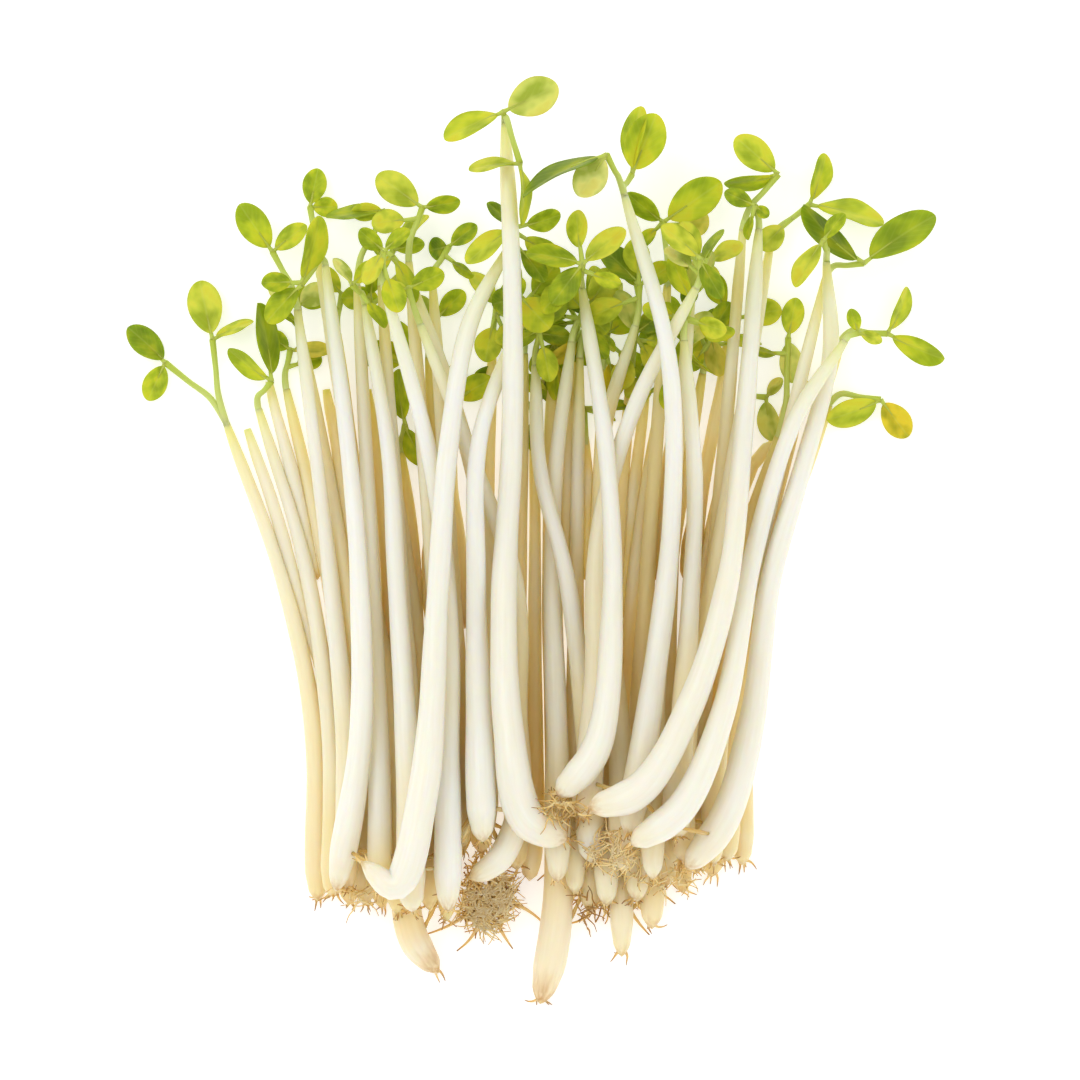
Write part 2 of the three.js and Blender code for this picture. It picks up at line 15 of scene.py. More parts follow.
import bpy
import numpy as np
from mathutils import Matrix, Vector


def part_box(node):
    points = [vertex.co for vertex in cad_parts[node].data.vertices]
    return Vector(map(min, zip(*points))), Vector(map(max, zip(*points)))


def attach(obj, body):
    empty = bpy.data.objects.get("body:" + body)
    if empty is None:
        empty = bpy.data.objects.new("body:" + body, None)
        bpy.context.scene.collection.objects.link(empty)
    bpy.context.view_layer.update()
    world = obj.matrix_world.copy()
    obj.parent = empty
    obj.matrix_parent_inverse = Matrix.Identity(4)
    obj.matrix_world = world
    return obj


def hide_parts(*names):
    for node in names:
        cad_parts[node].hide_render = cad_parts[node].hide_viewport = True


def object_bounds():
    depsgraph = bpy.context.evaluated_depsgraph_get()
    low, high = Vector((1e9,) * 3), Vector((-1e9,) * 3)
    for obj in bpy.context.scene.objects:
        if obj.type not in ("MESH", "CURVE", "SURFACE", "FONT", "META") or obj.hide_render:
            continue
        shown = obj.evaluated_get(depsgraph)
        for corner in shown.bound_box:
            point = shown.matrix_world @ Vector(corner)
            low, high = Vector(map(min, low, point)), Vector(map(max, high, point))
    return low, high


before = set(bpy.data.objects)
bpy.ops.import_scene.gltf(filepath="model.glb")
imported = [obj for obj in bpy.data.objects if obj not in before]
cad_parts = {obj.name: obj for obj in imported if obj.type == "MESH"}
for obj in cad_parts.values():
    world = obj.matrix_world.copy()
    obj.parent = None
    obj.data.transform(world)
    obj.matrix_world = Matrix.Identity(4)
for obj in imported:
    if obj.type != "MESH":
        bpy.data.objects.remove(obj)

solid_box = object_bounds()
print("the solids fill", [tuple(round(c * 1000, 1) for c in corner) for corner in solid_box], "mm")

# %% [markdown]
# ## Where each sprout lies
#
# A sprout is written down as a maker would place it: its thickness, a few points of its stem seen
# from above, and its sprays, each a fork with the tips of its leaflets. The sprouts of the three lower
# layers share one rule: they run straight up from the roots and then fan out. The sprouts in front cross
# each other freely, so their stems are written out. All of it is in millimetres, seen from above.

# %% The sprouts in plan
FANNED_THICKNESS = 3.4


def sprout(thickness, stem, *sprays):
    return {"thickness": thickness, "stem": stem, "sprays": sprays}


def spray(fork, *leaflets):
    return {"fork": fork, "leaflets": leaflets}


def fanned(root, tip, *sprays):
    def at(y, share):
        return [root[0] + (tip[0] - root[0]) * share, y]
    return sprout(FANNED_THICKNESS, [root, at(-26, 0.02), at(-3, 0.36), tip], *sprays)


TUFTS = {
    "bottom_left": [
        sprout(3.6, [[-28, -44.6], [-28.6, -22], [-32.8, -3], [-39.5, 15.5]],
               spray([-47.3, 23.4], [-52, 28, 3.4], [-49.5, 18.6, 3.1]),
               spray([-41.3, 26.3], [-43, 33.8, 4.4], [-36.3, 29, 1.7])),
        fanned([-24, -45], [-32, 20], spray([-31.5, 25], [-26.3, 25, 2.2], [-34.5, 27, 2.6])),
        fanned([-20, -45.5], [-25.5, 27], spray([-25, 32], [-20.5, 31.5, 2.6], [-28, 35.5, 2.6])),
        sprout(4.4, [[-12.8, -53.6], [-16, -49], [-17, -42], [-16, -22], [-16, -3], [-17.5, 12]],
               spray([-17, 15.5], [-14.8, 10, 2.6], [-18.5, 22.5, 3])),
        fanned([-11.7, -47], [-14, 24], spray([-13, 29], [-9.5, 32.5, 2.8], [-16.5, 31.5, 2.8])),
        fanned([-7.4, -38.5], [-6, 26], spray([-5.5, 30.5], [-2, 34, 2.8], [-8.5, 35, 2.6])),
    ],
    "bottom_right": [
        sprout(4.4, [[0, -57.5], [1.4, -51.5], [2.2, -45], [2.2, -30], [1.6, -10], [1.5, 22]],
               spray([2, 26], [5.5, 24, 2.8], [-1, 22, 2.6])),
        fanned([6.5, -46], [8, 22.5], spray([8.5, 27], [12, 29.5, 3], [5.5, 31, 3])),
        fanned([10.3, -51.5], [15, 18], spray([15.5, 23], [18.5, 19.5, 2.6], [13, 27.5, 3])),
        fanned([14.1, -48], [20.5, 22], spray([21.5, 27], [22.5, 21.5, 2.6], [24, 31, 2.6])),
        fanned([17.9, -43.5], [25.5, 18.5], spray([28.5, 19], [30.5, 21.5, 1.6], [29, 13.5, 2.8])),
        fanned([21.7, -41.5], [30, 14], spray([31.3, 26.5], [32.3, 31.6, 2.9], [32, 20.8, 3.1])),
        fanned([25.5, -40], [36.5, 18], spray([43, 18.7], [46.5, 14, 3.6], [36.5, 15.6, 3.4])),
    ],
    "lower_left": [
        fanned([-26, -44], [-35.5, 17.5], spray([-33.8, 21], [-39.6, 24.6, 2.5], [-34.5, 31, 3])),
        fanned([-22, -45], [-29.5, 24.5], spray([-30.5, 30.5], [-34, 34, 3.2], [-27, 33, 3])),
        fanned([-18, -46], [-28, 37], spray([-29, 43], [-28, 47.8, 3.1], [-25.5, 43, 2.6])),
        fanned([-13.9, -45.5], [-21.5, 27], spray([-21.5, 31.5], [-20.5, 36.5, 2.4], [-25, 31.5, 3])),
        fanned([-9.8, -38], [-13.5, 33], spray([-11.5, 38], [-8, 40.8, 2.4], [-14, 37.5, 3.1])),
        fanned([-3, -40.5], [-2, 24.5], spray([-1, 29], [3, 31.5, 3.2], [-4.5, 32, 2.8])),
    ],
    "lower_right": [
        fanned([4.4, -43.5], [5, 24], spray([6, 29], [9.5, 33, 3], [3, 34, 3.2])),
        fanned([8.4, -45], [11.5, 22], spray([12, 27], [16, 30, 3], [10, 32.5, 2.8])),
        fanned([12.2, -44.5], [16, 33], spray([15.5, 41], [10.8, 44.5, 2.8], [22.7, 46, 4.8])),
        fanned([16, -42.5], [17.5, 20], spray([18, 25.5], [21.5, 29.5, 3], [16, 31, 2.6])),
        fanned([19.8, -41], [25.5, 40], spray([30, 47], [24.6, 51.7, 3.9], [23.5, 44.8, 2])),
        fanned([23.6, -39.5], [38, 26], spray([43.8, 27], [47.2, 32.5, 2], [50.7, 23.2, 2.7])),
    ],
    "upper_left": [
        fanned([-24.2, -43], [-30.5, 30], spray([-33.7, 37.3], [-37.8, 43.2, 3.9], [-29.6, 40.8, 2.8])),
        fanned([-20.1, -43.5], [-23, 33], spray([-19.5, 42.5], [-27, 42, 2.2], [-23.8, 42.2, 2.4])),
        fanned([-16, -45], [-20, 33], spray([-18.5, 37.5], [-14.5, 38.5, 2.2], [-14.7, 42.5, 1.8])),
        fanned([-11.7, -43.5], [-16.5, 36], spray([-14.8, 42.8], [-20.6, 47, 4], [-10, 43.5, 2.4])),
        sprout(3.8, [[-7.2, -36.5], [-7.2, -24], [-6, -4], [-9, 12], [-16, 33]],
               spray([-18.5, 36.5], [-15, 31, 2.4], [-21, 35, 1.8])),
        sprout(3.6, [[-8.8, -41.6], [-5, -38.8], [-2.7, -33], [-2.8, -22], [-3, -5], [-8, 10], [-15, 28]],
               spray([-16.5, 32.5], [-12, 34.5, 3], [-19, 32, 2.4])),
    ],
    "upper_right": [
        sprout(3.8, [[2.2, -42], [2.2, -26], [1.6, -6], [2, 10], [4, 26]],
               spray([5.5, 30], [2, 33.5, 3.6], [8.5, 27, 2.8])),
        sprout(3.8, [[6.5, -39.5], [6, -26], [3.4, -4], [0, 10], [-0.6, 23]],
               spray([0, 27.5], [-3.5, 25.5, 2], [3.5, 32, 2.6])),
        sprout(3.8, [[10.3, -40.5], [10, -24], [8, -2], [8, 14], [12, 28]],
               spray([12.5, 33], [8, 38, 3.2], [16.5, 35.5, 3])),
        fanned([14.1, -41.5], [19, 32], spray([20, 36], [22.3, 33, 2.4], [17.8, 41, 3])),
        fanned([17.9, -39.5], [29, 38], spray([34, 43.3], [36.6, 49.5, 2.2], [43.5, 41.8, 2.6])),
        fanned([21.8, -40], [36, 34], spray([40.7, 35.8], [32, 41.6, 2.8], [49.2, 42.5, 4.6])),
        sprout(3.8, [[17, -36.5], [17.5, -26], [18.8, -8], [19.4, 8], [18, 26]],
               spray([19, 31], [21, 37.5, 3], [16, 36.5, 2.6])),
    ],
    "front_left": [
        sprout(4.0, [[-25.5, -43], [-22.5, -24], [-22.8, -2], [-24.5, 16], [-27, 35.5]],
               spray([-30, 33], [-34.5, 28.5, 3.2], [-27, 41.5, 2.6])),
        sprout(4.0, [[-16, -45.5], [-16.5, -28], [-18, -4], [-19, 12], [-22, 30.5]],
               spray([-23.5, 33], [-25.5, 36.5, 1.6], [-20.5, 36, 2.2])),
        sprout(4.0, [[-11.5, -45.5], [-11.5, -28], [-11.5, -8], [-13.5, 10], [-19.5, 33]],
               spray([-19.5, 37], [-22, 33, 2.4], [-16.5, 40, 2])),
        sprout(4.2, [[-7.2, -36.8], [-7.5, -26], [-8, -4], [-7.5, 14], [-2.3, 28.5]],
               spray([-2.5, 31.5], [-6, 30.5, 3.4], [1.2, 27.5, 4.4])),
        sprout(4.6, [[-22.3, -39], [-18, -42], [-14.5, -30], [-12.8, -6], [-11.5, 12], [-8.8, 28],
                     [-4, 37.5]],
               spray([-3.5, 40], [-6.2, 43.5, 1.8], [-9.5, 36, 3])),
        sprout(4.6, [[3.5, -36.5], [-1.5, -34], [-4, -22], [-4.5, -6], [-3.5, 14], [-3.5, 34], [-4.4, 53]],
               spray([-4.6, 54.5], [-12.2, 51.4, 2.7], [2.2, 57.8, 4.9]),
               spray([-2.5, 48], [-9, 48, 1.2], [-1, 40.5, 1.6])),
    ],
    "front_right": [
        sprout(4.0, [[5.5, -34], [7, -18], [7.5, 2], [12, 18], [19.5, 32.5]],
               spray([20, 36], [22.5, 31, 2.6], [15.5, 40.5, 3])),
        sprout(4.0, [[11, -36], [14, -18], [16.5, 4], [16, 24], [10.6, 44]],
               spray([11.5, 46.8], [14.6, 54.4, 5], [12, 55.5, 2.4]),
               spray([8.3, 49], [4.8, 44, 4.2], [-2.8, 45.8, 2.3])),
        sprout(4.4, [[18.3, -40.2], [23, -34], [26.5, -22], [29, -4], [33, 10], [36.5, 24], [36, 36]],
               spray([35.5, 38.5], [31.5, 33, 2.6], [38, 42, 2])),
        sprout(4.4, [[11.3, -37], [17.5, -32.5], [23, -20], [26.5, -2], [32, 16], [38.3, 26]],
               spray([40, 27], [39, 30, 1.8], [43, 26, 1.6])),
        sprout(4.6, [[6, -32.5], [12.5, -30], [19, -19], [23.5, -4], [25.3, 12], [27.5, 40]],
               spray([27, 43], [23.2, 44.7, 2.3], [28.7, 41.6, 1.6])),
        sprout(4.2, [[2.2, -31], [7, -25], [9, -8], [8.5, 10], [5.3, 32.5]],
               spray([5.3, 35.5], [10.5, 40, 3.2], [-1.5, 37.5, 3], [1.5, 30.5, 3.4])),
    ],
}
print(sum(len(sprouts) for sprouts in TUFTS.values()), "sprouts in", len(TUFTS), "tufts")

# %% [markdown]
# ## Laying them on each other
#
# A heap of stems could be dropped by a physics simulation, but that gives a new heap each time and never
# the one in front of us. Here each stem is laid in turn, as by hand: wherever something lies under it, it
# rests on that, and it bends no sharper than a real stem can. Balls strung along everything already laid
# make this an easy sum: a new stem clears a ball when their centres are further apart than both radii and a
# little air. The numbers and the order of the random draws are those of the solids, so both heaps agree.

# %% The balls that stand for what is laid
CLEARANCE = 0.4
BALL_STEP = 0.8
SEED = 7
random_state = SEED
balls = np.zeros((40000, 4))
ball_tuft = np.zeros(40000, int)
ball_owner = np.zeros(40000, int)
ball_count = 0


def random(low, high):
    global random_state
    random_state = (random_state * 16807) % 2147483647
    return low + (high - low) * random_state / 2147483647


def stamp(rows, tuft, owner):
    global ball_count
    end = ball_count + len(rows)
    balls[ball_count:end] = rows
    ball_tuft[ball_count:end] = tuft
    ball_owner[ball_count:end] = owner
    ball_count = end


def rest_height(x, y, radius, skip_tuft=-1, skip_owner=-1):
    laid = balls[:ball_count]
    gap = (radius + laid[:, 3] + CLEARANCE) ** 2 - (x - laid[:, 0]) ** 2 - (y - laid[:, 1]) ** 2
    over = gap > 0
    if skip_tuft >= 0:
        over &= ball_tuft[:ball_count] != skip_tuft
    if skip_owner >= 0:
        over &= ball_owner[:ball_count] != skip_owner
    if not over.any():
        return radius
    return max(radius, (laid[over, 2] + np.sqrt(gap[over])).max())


# %% Laying one run of rings
def samples_along(rings):
    rows = []
    for i in range(len(rings) - 1):
        a, b = rings[i], rings[i + 1]
        count = max(1, math.ceil(math.dist(a[:3], b[:3]) / BALL_STEP))
        rows += [(i, k / count, *(a + (b - a) * (k / count))) for k in range(count + 1)]
    return rows


def lay(rings, bend, pinned=(), skip_tuft=-1, skip_owner_until=(-1, 0.0)):
    """Raises the rings (x, y, z, radius) until the run clears what is laid under it."""
    steps = np.hypot(*np.diff(rings[:, :2], axis=0).T)
    along = np.concatenate([[0], np.cumsum(steps)])
    owner, until = skip_owner_until
    samples = []
    for i, t, x, y, _, radius in samples_along(rings):
        at = along[i] + (along[i + 1] - along[i]) * t
        skip = owner if at < until else -1
        samples.append((i, t, at, rest_height(x, y, radius, skip_tuft, skip)))
    at = np.array([s[2] for s in samples])
    need = np.array([s[3] for s in samples])
    for i in range(len(rings)):
        if i not in pinned:
            rings[i, 2] = max(rings[i, 2], (need - bend / 2 * (at - along[i]) ** 2).max())
    for _ in range(60):
        for i in range(1, len(rings) - 1):
            before, after = along[i] - along[i - 1], along[i + 1] - along[i]
            chord = (rings[i - 1, 2] * after + rings[i + 1, 2] * before) / (before + after)
            rings[i, 2] = max(rings[i, 2], chord - bend / 2 * before * after)
    for i, t, _, needed in samples:
        short = needed - (rings[i, 2] + (rings[i + 1, 2] - rings[i, 2]) * t)
        if short <= 0:
            continue
        if i not in pinned:
            rings[i, 2] += short / max(1 - t, 0.25) if i + 1 in pinned else short
        if i + 1 not in pinned:
            rings[i + 1, 2] += short / max(t, 0.25) if i in pinned else short


# %% A stem's line in plan
STEM_BEND = 0.03
STEM_RINGS = [0, 0.025, 0.07, 0.15, 0.27, 0.42, 0.6, 0.8, 1]
STEM_PROFILE = [(0, 0.4), (0.022, 0.82), (0.06, 1), (0.13, 0.92), (0.26, 0.77), (0.5, 0.61), (1, 0.42)]


def stem_share(u):
    return np.interp(u, *zip(*STEM_PROFILE))


def plan_curve(points):
    """A centripetal Catmull-Rom curve through the points, as 201 rows, with the length up to each."""
    p = np.array(points, float)
    p = np.vstack([2 * p[0] - p[1], p, 2 * p[-1] - p[-2]])
    rows = []
    for step in range(201):
        at = step / 200 * (len(points) - 1)
        i = min(int(at), len(points) - 2)
        t = at - i
        p0, p1, p2, p3 = p[i:i + 4]
        d0, d1, d2 = (math.dist(a, b) ** 0.5 for a, b in ((p0, p1), (p1, p2), (p2, p3)))
        m1 = ((p1 - p0) / d0 - (p2 - p0) / (d0 + d1) + (p2 - p1) / d1) * d1
        m2 = ((p2 - p1) / d1 - (p3 - p1) / (d1 + d2) + (p3 - p2) / d2) * d1
        rows.append(p1 + m1 * t + (3 * (p2 - p1) - 2 * m1 - m2) * t ** 2 + (2 * (p1 - p2) + m1 + m2) * t ** 3)
    rows = np.array(rows)
    lengths = np.concatenate([[0], np.cumsum(np.hypot(*np.diff(rows, axis=0).T))])
    return rows, lengths


def at_shares(curve, shares):
    """Points of a plan curve at shares of its length, found by its own parameter as the solids are."""
    rows, lengths = curve
    where = np.interp(np.asarray(shares) * lengths[-1], lengths, np.arange(201))
    return np.stack([np.interp(where, np.arange(201), rows[:, k]) for k in (0, 1)], axis=1)


# %% A leaflet's frame and its surface
LEAF_SAG = 3.0
STALK_RADIUS = 0.5
JOINT_RADIUS = 0.75
STRAND_BEND = 0.15
BLADE_SHARE = 0.9
BLADE_LEAST_WIDTH = 0.6
BLADE_CUP = 0.09
BLADE_DROOP = 0.08
BLADE_OUTLINE = [(-0.14, 0.14), (0.08, 0.46), (0.44, 1), (0.81, 0.82), (1, 0)]


def unit(vector):
    return vector / np.linalg.norm(vector)


def leaflet_frame(fork, leaflet):
    x, y, shown = leaflet
    reach = math.hypot(x - fork[0], y - fork[1])
    length = reach * BLADE_SHARE
    width = max(shown, length * BLADE_LEAST_WIDTH)
    lift = random(-0.1, 0.25)
    roll = math.acos(shown / width) * (-1 if random(0, 1) < 0.5 else 1)
    axis = unit(np.array([(x - fork[0]) / reach, (y - fork[1]) / reach, lift]))
    level = unit(np.array([axis[1], -axis[0], 0.0]))
    side = level * math.cos(roll) + np.cross(axis, level) * math.sin(roll)
    return {"length": length, "width": width, "axis": axis, "side": side,
            "face": np.cross(side, axis), "start": reach - length}


def blade_point(leaf, origin, along, across, rise):
    """Points of the blade: cupped along the midrib and drooping to the tip. Works on whole arrays."""
    along, across, rise = (np.asarray(v, float)[..., None] for v in (along, across, rise))
    lift = BLADE_CUP * leaf["width"] * np.abs(across)
    droop = -BLADE_DROOP * leaf["length"] * (along - BLADE_OUTLINE[0][0]) ** 2
    return (origin + leaf["axis"] * (leaf["start"] + leaf["length"] * along)
            + leaf["side"] * (leaf["width"] / 2 * across) + leaf["face"] * (lift + droop + rise))


def blade_balls(leaf, origin):
    along = np.repeat(np.linspace(-0.1, 1, 9), 5)
    across = np.tile(np.linspace(-1, 1, 5), 9)
    wide = across * np.interp(along, *zip(*BLADE_OUTLINE))
    return np.hstack([blade_point(leaf, origin, along, wide, 0 * along), np.full((45, 1), 0.45)])


# %% A spray on its stalk
def lay_spray(tip, heading, one, tuft, owner):
    leaves = [leaflet_frame(one["fork"], leaflet) for leaflet in one["leaflets"]]
    origin = np.array([*one["fork"], tip[2]], float)
    rows = np.vstack([blade_balls(leaf, origin) for leaf in leaves])
    shortfalls = [rest_height(x, y, radius) - z for x, y, z, radius in rows]
    origin[2] += max(-LEAF_SAG, *shortfalls)
    start = tip[:3] + heading * CLEARANCE
    way = math.dist(start, origin) * 0.4
    outward = unit(np.array([one["fork"][0] - tip[0], one["fork"][1] - tip[1], 0.0]))
    controls = [start, start + heading * way, origin - outward * way, origin]
    stalk = []
    for t in (0, 1 / 3, 2 / 3, 1):
        weights = ((1 - t) ** 3, 3 * t * (1 - t) ** 2, 3 * t ** 2 * (1 - t), t ** 3)
        stalk.append([*sum(w * c for w, c in zip(weights, controls)), STALK_RADIUS])
    stalk = np.array(stalk)
    stalk[-1, 3] = JOINT_RADIUS
    lay(stalk, STRAND_BEND, pinned=(0,), skip_owner_until=(owner, 3.0))
    origin[2] = stalk[-1, 2]
    stamp([row[2:] for row in samples_along(stalk)], tuft, owner)
    for leaf in leaves:
        stamp(blade_balls(leaf, origin), tuft, owner)
    return {"origin": origin, "stalk": stalk, "leaves": leaves}


# %% The mats of rootlets, which lie under everything
ROOTLET_RADIUS = 0.5
MATS = {
    "root_mat_left": {"centre": (-6.7, -43.6), "reach": (3.3, 4.8), "height": 3.2, "rootlets": 7},
    "root_mat_right": {"centre": (9, -42), "reach": (5.5, 4.2), "height": 1.5, "rootlets": 7},
}


def lay_mat(mat, owner):
    (cx, cy), (rx, ry) = mat["centre"], mat["reach"]
    rootlets = []
    for n in range(mat["rootlets"]):
        angle = (n + random(-0.3, 0.3)) / mat["rootlets"] * 2 * math.pi
        length = random(3, 6.5)
        turn = random(-0.5, 0.5)
        rings = []
        for step in range(4):
            along = 0.6 + length / 3 * step
            bearing = angle + turn * step * 0.5
            x = cx + rx * 0.7 * math.cos(angle) + along * math.cos(bearing)
            y = cy + ry * 0.7 * math.sin(angle) + along * math.sin(bearing)
            rings.append([x, y, 0.6 + random(0, 0.5), ROOTLET_RADIUS * (1 - 0.15 * step)])
        rootlets.append(np.array(rings))
        stamp([row[2:] for row in samples_along(rootlets[-1])], owner, owner)
    for x in np.arange(-rx, rx + 1e-9):
        for y in np.arange(-ry, ry + 1e-9):
            if (x / rx) ** 2 + (y / ry) ** 2 < 1.1:
                stamp([[cx + x, cy + y, mat["height"] - 0.7, 0.8]], owner, owner)
    return rootlets


# %% Lay the whole clump
STRAND_RADIUS = 0.85
STRAND_RING = 2
mat_rootlets = {name: lay_mat(mat, 1000 + n) for n, (name, mat) in enumerate(MATS.items())}
sprouts_laid = []
strands_laid = {}
for tuft, (tuft_name, sprouts) in enumerate(TUFTS.items()):
    stems = []
    for plant in sprouts:
        number = len(sprouts_laid) + 1
        curve = plan_curve(plant["stem"])
        radii = stem_share(STEM_RINGS) * plant["thickness"] / 2
        rings = np.column_stack([at_shares(curve, STEM_RINGS), radii, radii])
        lay(rings, STEM_BEND)
        stamp([row[2:] for row in samples_along(rings)], tuft, number)
        heading = unit(rings[-1, :3] - rings[-2, :3])
        sprays = [lay_spray(rings[-1], heading, one, tuft, number) for one in plant["sprays"]]
        stems.append(rings)
        sprouts_laid.append({"number": number, "tuft": tuft_name, "curve": curve, "rings": rings,
                             "thickness": plant["thickness"], "heading": heading, "sprays": sprays})
    stems.sort(key=lambda rings: rings[STRAND_RING, 0])
    strands_laid[tuft_name] = []
    for a, b in zip(stems, stems[1:]):
        start, end = a[STRAND_RING], b[STRAND_RING]
        steps = max(2, math.floor(math.dist(start[:2], end[:2]) / 2.5 + 0.5))
        strand = np.array([start + (end - start) * i / steps for i in range(steps + 1)])
        strand[:, 3] = STRAND_RADIUS
        lay(strand, STRAND_BEND, pinned=(0, steps), skip_tuft=tuft)
        stamp([row[2:] for row in samples_along(strand)], tuft, 2000 + tuft)
        strands_laid[tuft_name].append(strand)
print(ball_count, "balls stand for the laid clump")


# %% Where the plan lies in the frame
def spray_box(laid):
    outline = [*BLADE_OUTLINE, *[(along, -across) for along, across in BLADE_OUTLINE[:-1]]]
    along, across = np.array(outline).T
    rows = [blade_point(leaf, one["origin"], along, across, rise + 0 * along)
            for one in laid["sprays"] for leaf in one["leaves"] for rise in (-0.31, 0.31)]
    rows = np.vstack(rows)
    return rows.min(axis=0), rows.max(axis=0)


offsets = []
for laid in sprouts_laid:
    low, high = spray_box(laid)
    box_low, box_high = (np.array(corner) * 1000 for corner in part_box(f"leaves_{laid['number']:02d}"))
    offsets += [box_low - low, box_high - high]
SHIFT = np.median(offsets, axis=0)
print("the plan is shifted by", SHIFT.round(3), "mm; sprays agree within",
      np.percentile(np.abs(np.array(offsets) - SHIFT), 80, axis=0).round(3), "mm")

# %% [markdown]
# ## Turning runs into skins
#
# A stem is a tube swept along its line. Blender's curve objects can bevel a curve into a tube, but here
# each ring wants its own thickness, a slightly oval section and numbers that the material can read, so the
# rings are written out. The numbers travel as attributes: how far along the stem a point is, and where it
# lies round it.


# %% Rings, frames and pieces
INSIDE_BY = 0.00002


def resample(points, count):
    """A smooth curve through rows of numbers, as count rows evenly spaced in its parameter."""
    p = np.vstack([2 * points[0] - points[1], points, 2 * points[-1] - points[-2]])
    at = np.linspace(0, len(points) - 1, count)
    i = np.minimum(at.astype(int), len(points) - 2)
    t = (at - i)[:, None]
    p0, p1, p2, p3 = p[i], p[i + 1], p[i + 2], p[i + 3]
    return 0.5 * (2 * p1 + (p2 - p0) * t + (2 * p0 - 5 * p1 + 4 * p2 - p3) * t ** 2
                  + (3 * p1 - p0 - 3 * p2 + p3) * t ** 3)


def sweep(centres, radii, sides, oval=0.0, turn=0.0):
    """A closed tube: rings of points round the centres and a point at each end."""
    tangents = np.gradient(centres, axis=0)
    tangents /= np.linalg.norm(tangents, axis=1)[:, None] + 1e-12
    side = np.stack([tangents[:, 1], -tangents[:, 0], 0 * tangents[:, 0]], axis=1)
    side /= np.linalg.norm(side, axis=1)[:, None] + 1e-12
    up = np.cross(side, tangents)
    angles = np.arange(sides) / sides * 2 * math.pi
    share = 1 + oval * np.cos(2 * (angles - turn))
    wide = radii[:, None] * share[None, :]
    rings = (centres[:, None, :] + side[:, None, :] * (wide * np.cos(angles))[..., None]
             + up[:, None, :] * (wide * np.sin(angles))[..., None])
    count = len(centres)
    verts = np.vstack([rings.reshape(-1, 3), centres[:1], centres[-1:]])
    faces = []
    for i in range(count - 1):
        for k in range(sides):
            a, b = i * sides + k, i * sides + (k + 1) % sides
            faces.append((a, a + sides, b + sides, b))
    first, last = count * sides, count * sides + 1
    for k in range(sides):
        faces.append((first, k, (k + 1) % sides))
        faces.append((last, (count - 1) * sides + (k + 1) % sides, (count - 1) * sides + k))
    along = np.concatenate([np.repeat(np.arange(count), sides), [0, count - 1]])
    around = np.concatenate([np.tile(angles, count), [0, 0]])
    return verts, faces, along, around


def kept_inside(verts):
    """The points in metres of the frame, moved back by what they stick out of the solids' box."""
    verts = (verts + SHIFT) / 1000
    low, high = np.array(solid_box[0]) + INSIDE_BY, np.array(solid_box[1]) - INSIDE_BY
    return verts + np.clip(low - verts.min(axis=0), 0, None) - np.clip(verts.max(axis=0) - high, 0, None)


def make_piece(name, parts, materials):
    """One object from many parts: each has verts in mm of the plan, faces, attributes and a material."""
    start, faces, numbers = 0, [], []
    for part in parts:
        faces += [tuple(v + start for v in face) for face in part["faces"]]
        numbers += [part.get("material", 0)] * len(part["faces"])
        start += len(part["verts"])
    verts = np.vstack([kept_inside(part["verts"]) for part in parts])
    mesh = bpy.data.meshes.new(name)
    mesh.from_pydata(verts.tolist(), [], faces)
    for key in parts[0]["attributes"]:
        values = np.concatenate([np.asarray(part["attributes"][key], float) for part in parts])
        kind = "FLOAT" if values.ndim == 1 else "FLOAT_VECTOR"
        layer = mesh.attributes.new(key, kind, "POINT")
        layer.data.foreach_set("value" if values.ndim == 1 else "vector", values.ravel())
    for material in materials:
        mesh.materials.append(material)
    mesh.polygons.foreach_set("material_index", numbers)
    mesh.shade_smooth()
    mesh.validate()
    piece = bpy.data.objects.new(name, mesh)
    bpy.context.scene.collection.objects.link(piece)
    return piece


# %% [markdown]
# ## Colours and the one helper for nodes
#
# Colours are noted as they look on a screen, in hex, and turned to linear light once. Every material is a
# tree of nodes, and one small function adds a node, sets it and links it.


# %% Colour and node helpers
def linear(hex_colour):
    channels = [int(hex_colour[i:i + 2], 16) / 255 for i in (1, 3, 5)]
    return (*(c / 12.92 if c <= 0.04045 else ((c + 0.055) / 1.055) ** 2.4 for c in channels), 1.0)


def add_node(tree, kind, inputs=None, **settings):
    node = tree.nodes.new(kind)
    for key, value in settings.items():
        setattr(node, key, value)
    for key, value in (inputs or {}).items():
        if isinstance(value, bpy.types.NodeSocket):
            tree.links.new(value, node.inputs[key])
        else:
            node.inputs[key].default_value = value
    return node


def set_ramp(node, stops):
    ramp = node.color_ramp
    while len(ramp.elements) < len(stops):
        ramp.elements.new(0.5)
    for element, (position, colour) in zip(ramp.elements, stops):
        element.position = position
        element.color = linear(colour)


def new_material(name, surface):
    """A material with one Principled shader, whose even values are set on its own sockets."""
    material = bpy.data.materials.new(name)
    material.use_nodes = True
    tree = material.node_tree
    tree.nodes.clear()
    shader = add_node(tree, "ShaderNodeBsdfPrincipled", surface)
    add_node(tree, "ShaderNodeOutputMaterial", {"Surface": shader.outputs[0]})
    return material, tree, shader


# %% [markdown]
# ## The skin of a stem
#
# A sprout's stem grew in the dark, so it has no green in it: the flesh is white and full of water, under a
# thin glossy skin. Light goes in and comes out a few millimetres on, the blue lost on the way, so stems are
# white on top and golden in the gaps, where only light that has been through other stems gets to.
# Subsurface scattering does part of that. The rest is painted shade: a golden tint painted down each stem's
# sides and on stems deeper in the clump.
#
# The skin is made of long cells. One is only a few hundredths of a millimetre wide, too fine to show, so the
# faint streaks along the stem stand for bundles of them, about half a millimetre wide, and the noise is
# stretched along the length. Towards the neck the daylight has begun to turn the skin green, and the torn
# root end is stained brown.

# %% Stem skin
STREAK_PER_MM = 2.2
SKIN_RELIEF = 0.00012


